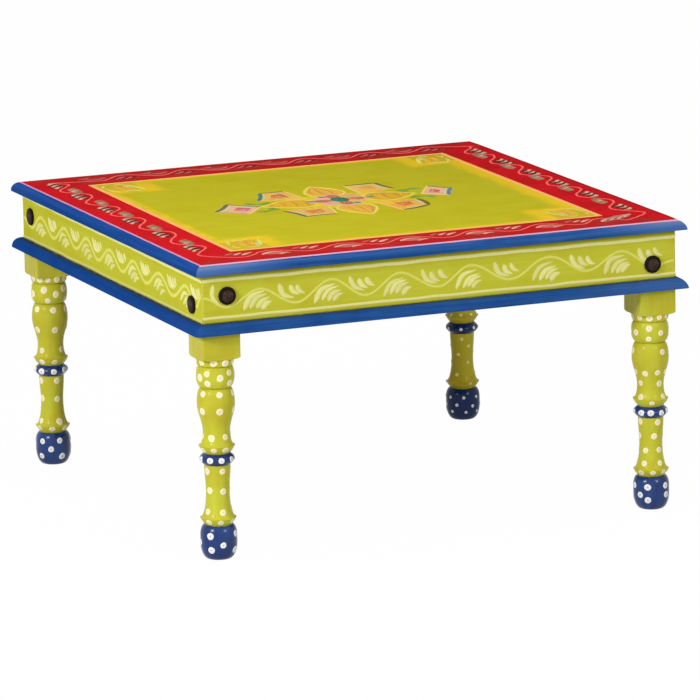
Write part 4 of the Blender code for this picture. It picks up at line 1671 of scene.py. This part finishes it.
def addBorderLeaves(work, face, place, leaves):
    (middle, reach, tilt, base), strokes = leaves
    spot = nudged(place, brushSpec["groupNudge"])
    lean = math.radians(tilt)
    spin = Matrix.Rotation(lean, 2)
    outline = []
    for away in ovalSpots((0.0, 0.0), reach, smearSpec["points"]):
        outline.append(spot + Vector(middle) + spin @ (away * hand.uniform(*smearSpec["ragged"])))
    addPatch(work, face, outline, base, "red", lean, layer=0.8)
    for start, end, bulge, width, tone in strokes:
        addLeaf(work, face, spot, (start, end, bulge), width, tone, base, 1.4)


def roundedTurns(turns):  # flatter at the turns than straight runs between them
    spots = []
    for here, there in zip(turns, turns[1:]):
        run = there[0] - here[0]
        rise = there[1] - here[1]
        spots.append(here)
        spots += [(here[0] + along * run, here[1] + across * rise) for along, across in topVine["turnShape"]]
    return spots + [turns[-1]]


def paintBorder(spec, line):
    work = startWork()
    loop = squareLoop(line["reach"], line["steps"])
    addStroke(work, onTop, loop, line["width"], "peach", "golden", closed=True)
    knots = []
    for turn, name in enumerate(sideNames):
        side = topSides[name]
        face = sideFace(turn)
        spin = Matrix.Rotation(turn * math.pi / 2, 2)
        near = side["distance"] - spec["amplitude"]
        far = side["distance"] + spec["amplitude"]
        turns = [(x, -far) for x in side["outer"]] + [(x, -near) for x in side["inner"]]
        turns = sorted(turns + list(side["bare"]))
        knots += [spin @ Vector(spot) for spot in [side["corner"]] + roundedTurns(turns)]
        for places, leaves in zip((side["outer"], side["inner"]), borderLeaves[name]):
            for x in places:
                addBorderLeaves(work, face, Vector((x, -side["distance"])), leaves)
        for spot in side.get("dense", ()):
            addBorderLeaves(work, face, Vector(spot), denseLeaves)
    vine = shaky(smoothPath(knots, spec["knotSteps"], closed=True))
    addStroke(work, onTop, vine, spec["lineWidth"], "rose", "red", closed=True, layer=0.4)
    return work


finishWork("topBorder", paintBorder(topVine, topLine), strokePaint)
print("border painted")


# corner posies and the flower in the middle

flowerSpec = {
    "petals": (  # tip, root, half-width, fill, outline's width
        ((0.000, 0.122), (0.000, 0.034), 0.0290, "amber", 0.0050),
        ((-0.003, -0.123), (-0.003, -0.032), 0.0285, "amber", 0.0050),
        ((-0.126, 0.004), (-0.038, 0.002), 0.0310, "ochre", 0.0046),
        ((0.119, 0.002), (0.036, 0.000), 0.0330, "ochre", 0.0046),
    ),
    "petalFit": 0.66,  # the widest place is nearer the root
    "petalSteps": 14,
    "hatch": 0.0056,
    "hatchWidth": 0.0028,
    "hatchTones": ("clay", "golden", "tan"),
    "hatchAlong": (0.14, 0.08, 0.9),  # a lengthwise line: its start, its steps, how near the edges
    "hatchAcross": (0.85, 0.05, 0.08),  # a cross line: how near the edges, its slant and bulge
    "outlineSteps": 16,
    "tipEdge": (0.58, 0.07, 1.12),  # its start, its steps, how far out of the outline
    "tipWidth": 1.3,  # that edging, as a share of the outline's width
    "rosette": (-0.002, 0.003),
    "rosetteReach": 0.044,
    "rosetteWidth": 0.0300,
    "rosetteRim": 0.0070,  # how far the pale rim of a dark petal stands out
    "rosetteStart": 0.7,  # how far out in the eye its petals begin
    "rosetteVeins": (-0.0050, 0.0, 0.0050),
    "veinSpread": 0.3,  # at the root, as a share of that at the tip
    "veinStop": 0.12,  # short of the tip
    "veinWidth": 0.0026,
    "tealDabs": ((-0.017, 0.030), (-0.045, 0.003), (0.014, -0.033), (0.048, -0.001)),
    "dabReach": 0.007,
    "dabWidth": 0.0140,
    "eye": (0.0135, 0.0190),
    "eyeRays": ((0.003, 0.004), (0.012, 0.017), 9, 0.0044),  # from and to, count, width
    "glow": (0.072, 0.058),  # sunny ground under the rosette
    "sprayLength": 0.042,
    "sprayWidth": 0.0100,
    "sprayFan": 16,  # degrees between its leaves
    "sprayTones": ("fern", "leaf", "fern", "leaf", "fern"),
    "boldEdge": 0.0104,
    "boldTones": ("teal", "pine", "bark", "sky"),
    "innerEdge": 0.0056,
    "thinEdge": 0.0040,
    "edgeBow": -0.05,
    "innerPlace": (0.2, -0.03),  # how far towards the heart, and its bow
    "kiteRays": 8,  # along each edge
    "kiteRay": 0.0040,
    "rayReach": 0.6,  # towards the heart
    "kiteBeams": 7,
    "kiteBeam": 0.0066,
    "beamReach": 0.62,
    "heartSize": 0.42,
    "kiteVeins": 5,
    "kiteVein": 0.0026,
    "veinReach": (0.4, 0.3),  # shares: out from the heart, and of that back past it
}
kites = (  # corners in turn, heart, tones of the edges, fill and heart
    (((-0.112, 0.0495), (-0.088, 0.106), (-0.050, 0.106), (-0.042, 0.032)), (-0.070, 0.072),
     ("teal", "bark", "straw", "golden"), "tan", "coral"),
    (((0.047, 0.106), (0.097, 0.106), (0.105, 0.052), (0.046, 0.032)), (0.070, 0.072),
     ("pine", "pine", "golden", "straw"), "tan", "amber"),
    (((-0.047, -0.097), (-0.096, -0.098), (-0.110, -0.041), (-0.036, -0.034)), (-0.066, -0.0655),
     ("bark", "pine", "golden", "straw"), "tan", "clay"),
    (((0.050, -0.114), (0.099, -0.094), (0.103, -0.041), (0.038, -0.036)), (0.070, -0.070),
     ("pine", "pine", "golden", "peach"), "amber", "coral"),
    (((-0.201, -0.004), (-0.1635, 0.046), (-0.126, 0.0056), (-0.162, -0.038)), (-0.1545, -0.004),
     ("pine", "bark", "straw", "leaf"), "shell", "pink"),
    (((0.157, 0.046), (0.182, 0.015), (0.157, -0.035), (0.125, -0.007)), (0.146, 0.002),
     ("bark", "sky", "straw", "straw"), "shell", "pink"),
)
sprays = (  # middle, heading in degrees
    ((0.121, 0.028), 20), ((0.117, -0.034), -25), ((-0.122, 0.030), 160), ((-0.128, -0.024), 205),
)
rosettePetals = (  # tone and length of each, from the right round
    ("brick", 0.86), ("tan", 1.16), ("brick", 0.90), ("mauve", 0.90),
    ("brick", 0.92), ("mauve", 1.05), ("brick", 0.94), ("tan", 0.90),
)


def paintPetal(work, tip, root, halfWidth, fill, outline, spec):
    tip = Vector(tip)
    root = Vector(root)
    length = (tip - root).length
    along = (tip - root) / length
    aside = Vector((-along.y, along.x))

    def edge(share, side):
        bulge = halfWidth * math.sin(math.pi * share ** spec["petalFit"])
        return root + along * length * share + aside * side * bulge

    def wholeEdge(steps, side):
        return [edge(step / steps, side) for step in range(steps + 1)]

    left = wholeEdge(spec["petalSteps"], 1)
    right = wholeEdge(spec["petalSteps"], -1)
    heading = math.atan2(along.y, along.x)
    addPatch(work, onTop, left + right[-2:0:-1], fill, "golden", heading, layer=0.6)
    lengthwise = abs(along.y) > 0.5  # the hatching runs front to back on every petal
    count = int((halfWidth * 2 if lengthwise else length) / spec["hatch"])
    first, gap, nearEdge = spec["hatchAlong"]
    reach, slant, bow = spec["hatchAcross"]
    for step in range(1, count):
        share = step / count
        if lengthwise:
            path = [edge(first + gap * point, (share * 2 - 1) * nearEdge) for point in range(11)]
        else:
            path = bowed(edge(share, -reach), edge(min(0.99, share + slant), reach), bow, 4)
        tone = spec["hatchTones"][step % 3]
        addStroke(work, onTop, shaky(path), spec["hatchWidth"], tone, fill, lensShape, layer=0.6)
    first, gap, out = spec["tipEdge"]
    for side in (1, -1):
        outer = shaky(wholeEdge(spec["outlineSteps"], side))
        tipEdge = [edge(first + gap * step, side * out) for step in range(7)]
        addStroke(work, onTop, outer, outline, "straw", "golden", lineShape, layer=1.2)
        tipWidth = outline * spec["tipWidth"]
        addStroke(work, onTop, shaky(tipEdge), tipWidth, "yellow", "field", lensShape, layer=1.0)


def paintKite(work, corners, heart, edgeTones, fill, heartTone, spec):
    heart = Vector(heart)
    spots = [Vector(corner) for corner in corners]
    addPatch(work, onTop, spots, fill, "golden", 0.6, layer=0.3)
    for index, spot in enumerate(spots):
        after = spots[(index + 1) % len(spots)]
        for step in range(1, spec["kiteRays"]):
            rim = spot.lerp(after, step / spec["kiteRays"])
            tone = ("shell", fill, "golden", fill)[(step + index) % 4]
            ray = bowed(rim, rim.lerp(heart, spec["rayReach"]), 0.04, 4)
            addStroke(work, onTop, ray, spec["kiteRay"], tone, fill, leafShape, layer=0.7)
    beamTone = "mauve" if fill == "shell" else "golden"
    for step in range(spec["kiteBeams"]):
        start = spots[3].lerp(spots[0 if step % 2 else 2], step / (2 * spec["kiteBeams"]))
        beam = straight(start, start.lerp(heart, spec["beamReach"]), 5)
        addStroke(work, onTop, beam, spec["kiteBeam"], beamTone, fill, leafShape, layer=0.9)
    heartSpots = [heart.lerp(spot, spec["heartSize"]) for spot in spots]
    addPatch(work, onTop, heartSpots, heartTone, fill, 1.0, layer=2)
    reach, back = spec["veinReach"]
    for step in range(spec["kiteVeins"]):
        across = (spots[0].lerp(spots[3], step / (spec["kiteVeins"] - 1)) - heart) * reach
        vein = bowed(heart + across, heart - across * back, 0.1, 4)
        addStroke(work, onTop, vein, spec["kiteVein"], fill, heartTone, lensShape, layer=1.2)
    inset, innerBow = spec["innerPlace"]
    for index, tone in enumerate(edgeTones):
        spot = spots[index]
        after = spots[(index + 1) % len(spots)]
        bold = tone in spec["boldTones"]
        side = bowed(spot, after, spec["edgeBow"] if bold else 0.0, 6)
        width = spec["boldEdge"] if bold else spec["thinEdge"]
        addStroke(work, onTop, side, width, tone, fill, bluntShape, layer=1.4)
        if bold:
            inside = bowed(spot.lerp(heart, inset), after.lerp(heart, inset), innerBow, 6)
            addStroke(work, onTop, inside, spec["innerEdge"], "mint", fill, lensShape, layer=1.7)


def paintSpray(work, middle, heading, spec):
    for step, tone in enumerate(spec["sprayTones"]):
        turn = math.radians(heading + (step - 2) * spec["sprayFan"])
        reach = Vector((math.cos(turn), math.sin(turn))) * spec["sprayLength"]
        start = Vector(middle) - reach * 0.5
        path = bowed(start, start + reach, 0.12)
        addStroke(work, onTop, path, spec["sprayWidth"], tone, "field", leafShape, layer=0.4 + 0.1 * step)


def paintRosette(work, spec):
    middle = Vector(spec["rosette"])
    width = spec["rosetteWidth"]
    for index, (tone, share) in enumerate(rosettePetals):
        turn = math.pi / 4 * index
        way = Vector((math.cos(turn), math.sin(turn)))
        start = middle + way * spec["eye"][0] * spec["rosetteStart"]
        end = middle + way * spec["rosetteReach"] * share
        if index % 2 == 0:
            rim = straight(start, end + way * spec["rosetteRim"], 9)
            rimWidth = width + spec["rosetteRim"]
            addStroke(work, onTop, rim, rimWidth, "shell", "tan", roundShape, layer=2.0 + 0.1 * index)
        petal = shaky(straight(start, end, 9))
        addStroke(work, onTop, petal, width, tone, "shell", roundShape, layer=2.9 + 0.1 * index)
        for shift in spec["rosetteVeins"]:
            aside = Vector((-way.y, way.x)) * shift
            veinEnd = end.lerp(start, spec["veinStop"]) + aside
            vein = shaky(straight(start + aside * spec["veinSpread"], veinEnd, 6))
            veinTone = "tan" if shift else "shell"
            addStroke(work, onTop, vein, spec["veinWidth"], veinTone, tone, lensShape, layer=4.0)
    for dab in spec["tealDabs"]:
        spot = middle + Vector(dab)
        reach = Vector(dab).normalized() * spec["dabReach"]
        path = shaky(straight(spot - reach, spot + reach, 5))
        addStroke(work, onTop, path, spec["dabWidth"], "teal", "mint", lensShape, layer=4.4)
    addPatch(work, onTop, ovalSpots(middle, spec["eye"], 18), "teal", "leaf", 0.9, layer=8)
    inner, outer, rays, rayWidth = spec["eyeRays"]
    for start, end in zip(ovalSpots(middle, inner, rays), ovalSpots(middle, outer, rays)):
        addStroke(work, onTop, straight(start, end, 4), rayWidth, "leaf", "teal", leafShape, layer=7.6)


def paintFlower(spec):
    work = startWork()
    for middle, heading in sprays:
        paintSpray(work, middle, heading, spec)
    addPatch(work, onTop, ovalSpots((0.0, 0.0), spec["glow"], 28), "sun", "field", 0.4)
    for kite in kites:
        paintKite(work, *kite, spec)
    for petal in spec["petals"]:
        paintPetal(work, *petal, spec)
    paintRosette(work, spec)
    return work


# one corner posy, measured in from the corner of the field: bracket strokes, then the hatched middle
posyBrackets = (
    (((0.0140, 0.040), (0.0175, 0.060), (0.0275, 0.077)), 0.0062, "straw"),
    (((0.0275, 0.077), (0.0420, 0.068), (0.0580, 0.079)), 0.0052, "straw"),
    (((0.0670, 0.070), (0.0615, 0.046), (0.0535, 0.022)), 0.0094, "straw"),
    (((0.0510, 0.018), (0.0420, 0.014), (0.0330, 0.018)), 0.0048, "straw"),
    (((0.0210, 0.016), (0.0140, 0.026), (0.0160, 0.036)), 0.0048, "straw"),
    (((0.0490, 0.020), (0.0500, 0.030), (0.0540, 0.040)), 0.0050, "mint"),
)
posyHeart = {
    "middle": (0.040, 0.046),
    "reach": (0.0165, 0.022),
    "strokes": 9,
    "strokeWidth": 0.0040,
    "spread": 1.8,
    "lean": 0.003,
    "tones": ("amber", "ochre", "tan", "golden"),
}


def paintPosies(heart):
    work = startWork()
    edge = topSpec["fieldHalf"][1]
    middle = Vector(heart["middle"])
    wide, tall = heart["reach"]
    for signX, signY in cornerSigns:
        def atCorner(u, v, lift):
            return onTop(signX * (edge - u), signY * (edge - v), lift)

        addPatch(work, atCorner, ovalSpots(middle, heart["reach"], 16), "ochre", "golden", 1.2)
        for step in range(heart["strokes"]):
            away = (step / (heart["strokes"] - 1) - 0.5) * wide * heart["spread"]
            reach = Vector((heart["lean"], tall * math.sqrt(max(0.05, 1 - (away / wide) ** 2))))
            spot = middle + Vector((away, 0.0))
            tone = heart["tones"][step % 4]
            path = bowed(spot - reach, spot + reach, 0.06, 5)
            addStroke(work, atCorner, path, heart["strokeWidth"], tone, "ochre", leafShape, layer=0.8)
        for knots, width, tone in posyBrackets:
            bracket = shaky(smoothPath(knots, 6))
            addStroke(work, atCorner, bracket, width, tone, "field", lensShape, layer=1.2)
    return work


finishWork("topFlower", paintFlower(flowerSpec), strokePaint)
finishWork("topPosies", paintPosies(posyHeart), strokePaint)
print("flower and posies painted")


# dots dabbed on the legs, in rows round the turning

dotSpec = {
    "segments": 14,
    "radius": 0.0052,
    "footRadius": 0.0050,
    # share of the radius, and height, from ring to ring
    "rings": ((0.34, 0.00030), (0.68, 0.00055), (0.92, 0.00030), (1.0, -0.00015)),
    "middle": 0.00022,
    "underside": -0.0008,
    "ragged": 0.14,
    "sizes": (0.9, 1.1),
    "bearingDrift": 2.0,
    "heightDrift": 0.0005,
    "seenFrom": -112.65,  # the bearing that the rows count from, in degrees
}
dotFinish = {
    "specular": 0.03,
    "grainScale": 500.0,
    "grainReach": 0.35,
    "hollow": (0.05, 0.42, 0.6, 0.0),  # from the middle outward
    "rough": (0.38, 0.52),
}
# per leg: size of its dots, their paint on the lime, then rows of
# height, spacing round the leg and the first dot's bearing in degrees
legDots = {
    "leg_front_left": (1.0, "ivory", (
        (0.2858, 40, -46), (0.2705, 73, -24), (0.2640, 73, 17), (0.2560, 73, -24), (0.2398, 56, -45),
        (0.2155, 60, -47), (0.1772, 62, -19), (0.1588, 46, -56), (0.1446, 39, -63), (0.1282, 70, -50),
        (0.1000, 70, -41), (0.0700, 66, -49), (0.0552, 46, -32), (0.0362, 83, -25), (0.0240, 83, 16),
        (0.0145, 83, -25))),
    "leg_front_right": (0.94, "ivory", (
        (0.2862, 34, -38), (0.2708, 90, -5), (0.2636, 97, 33), (0.2545, 90, -10), (0.2348, 107, 43),
        (0.2040, 48, -22), (0.1874, 83, -51), (0.1675, 86, -40), (0.1590, 90, 2), (0.1446, 36, -38),
        (0.1300, 90, -59), (0.1090, 90, 16), (0.0887, 77, -32), (0.0695, 78, -35), (0.0562, 45, -43),
        (0.0362, 62, -11), (0.0228, 80, 47), (0.0165, 90, -14))),
    "leg_back_right": (0.52, "cream", (
        (0.2860, 40, -20), (0.2640, 50, 8), (0.2390, 60, -30), (0.2110, 60, 4), (0.1850, 62, -28),
        (0.1672, 45, -5), (0.1446, 50, -58), (0.1273, 120, -3), (0.1154, 120, 32), (0.1041, 120, -24),
        (0.0905, 120, 31), (0.0720, 120, -27), (0.0589, 120, 27), (0.0362, 52, -48), (0.0240, 54, -21),
        (0.0145, 54, -43))),
    "leg_back_left": (1.02, "ivory", (
        (0.2862, 31, -60), (0.2705, 73, -14), (0.2630, 80, 27), (0.2540, 73, -4), (0.2388, 64, 12),
        (0.2085, 75, 23), (0.1766, 92, -36), (0.1592, 53, -32), (0.1446, 43, -31), (0.1294, 90, 33),
        (0.1010, 84, -57), (0.0676, 100, 35), (0.0565, 53, -51), (0.0385, 64, -36), (0.0254, 90, -4),
        (0.0140, 79, -41))),
}


def makeDotPaint(spec):  # a dabbed dot: pale ring, thinner in its middle
    material, tree, shader = startMaterial("dabbedDots", spec["specular"])
    grain = noiseAt(objectVector(tree), spec["grainScale"], 2.0)
    outward = partsOf(strokeVector(tree))[0]
    reach = plus(outward, times(minus(grain, 0.5), spec["grainReach"]))
    hollow = remap(reach, *spec["hollow"], smooth=True)
    colour = mixColour(hollow, colourOf(tree, "paint"), colourOf(tree, "ground"))
    done = layerOf(colour, remap(grain, *noiseSpan, *spec["rough"]), grain)
    finishMaterial(shader, done, dabRidge)
    return material


def makeTrack(profile):  # (distance run, radius, height) down the leg's surface
    track = []
    run = 0.0
    for (radius, z), (lastRadius, lastZ) in zip(profile, [profile[0]] + profile[:-1]):
        run += math.hypot(radius - lastRadius, z - lastZ)
        track.append((run, radius, z))
    return track


def onTrack(track, run):  # radius, height and outward direction at a distance down the track
    index = 1
    while index < len(track) - 1 and track[index][0] < run:
        index += 1
    low, high = track[index - 1], track[index]
    share = (run - low[0]) / max(1e-9, high[0] - low[0])
    away = Vector((low[2] - high[2], high[1] - low[1])).normalized()
    return low[1] + (high[1] - low[1]) * share, low[2] + (high[2] - low[2]) * share, away


def runAt(track, z):
    for low, high in zip(track, track[1:]):
        if low[2] >= z > high[2]:
            return low[0] + (high[0] - low[0]) * (low[2] - z) / (low[2] - high[2])


def addDot(work, track, angle, z, size, paint, ground):
    first = len(work["points"])
    middleRun = runAt(track, z)
    segments = dotSpec["segments"]
    paintTone = tinted(paint)
    seed = hand.uniform(0.0, brushSpec["bristleShift"])

    def place(share, turn, height):
        uneven = noise.noise(Vector((math.cos(turn), math.sin(turn), seed)))
        reach = size * share * (1 + dotSpec["ragged"] * uneven)
        radius, level, away = onTrack(track, middleRun + reach * math.sin(turn))
        bearing = angle + reach * math.cos(turn) / radius
        radius += away.x * height
        point = (radius * math.cos(bearing), radius * math.sin(bearing), level + away.y * height)
        addPoint(work, point, (share, turn), paintTone, paints[ground])

    place(0.0, 0.0, dotSpec["middle"])
    for share, height in dotSpec["rings"]:
        for step in range(segments):
            place(share, 2 * math.pi * step / segments, height)
    place(0.0, 0.0, dotSpec["underside"])
    last = len(work["points"]) - 1
    for step in range(segments):
        after = (step + 1) % segments
        work["faces"].append((first, first + 1 + step, first + 1 + after))
        for ring in range(len(dotSpec["rings"]) - 1):
            base = first + 1 + ring * segments
            outer = base + segments
            work["faces"].append((base + step, outer + step, outer + after, base + after))
        base = last - segments
        work["faces"].append((base + step, last, base + after))


def paintDots(track, scale, paint, rows):
    work = startWork()
    for z, spacing, start in rows:
        count = round(360 / spacing)
        onFoot = z < legZ["footTop"]
        onBlue = onFoot or legZ["ringFoot"] < z < legZ["ringTop"]
        radius = (dotSpec["footRadius"] if onFoot else dotSpec["radius"]) * scale
        tones = ("white", "bluePale") if onBlue else (paint, "dimple")
        for step in range(count):
            turn = start + step * 360 / count + hand.gauss(0, dotSpec["bearingDrift"])
            bearing = math.radians(dotSpec["seenFrom"] + turn)
            height = z + hand.gauss(0, dotSpec["heightDrift"])
            addDot(work, track, bearing, height, radius * hand.uniform(*dotSpec["sizes"]), *tones)
    return work


legTrack = makeTrack(legProfile(legSpec, legZ)[2:-1])
dotPaint = makeDotPaint(dotFinish)
for turn, legName in enumerate(legNames):
    dots = paintDots(legTrack, *legDots[legName])
    corner = carriedRound(turn, (legAxis, legAxis, 0.0))
    finishWork("dots_" + legName, dots, dotPaint, place=corner)
print("legs dotted")
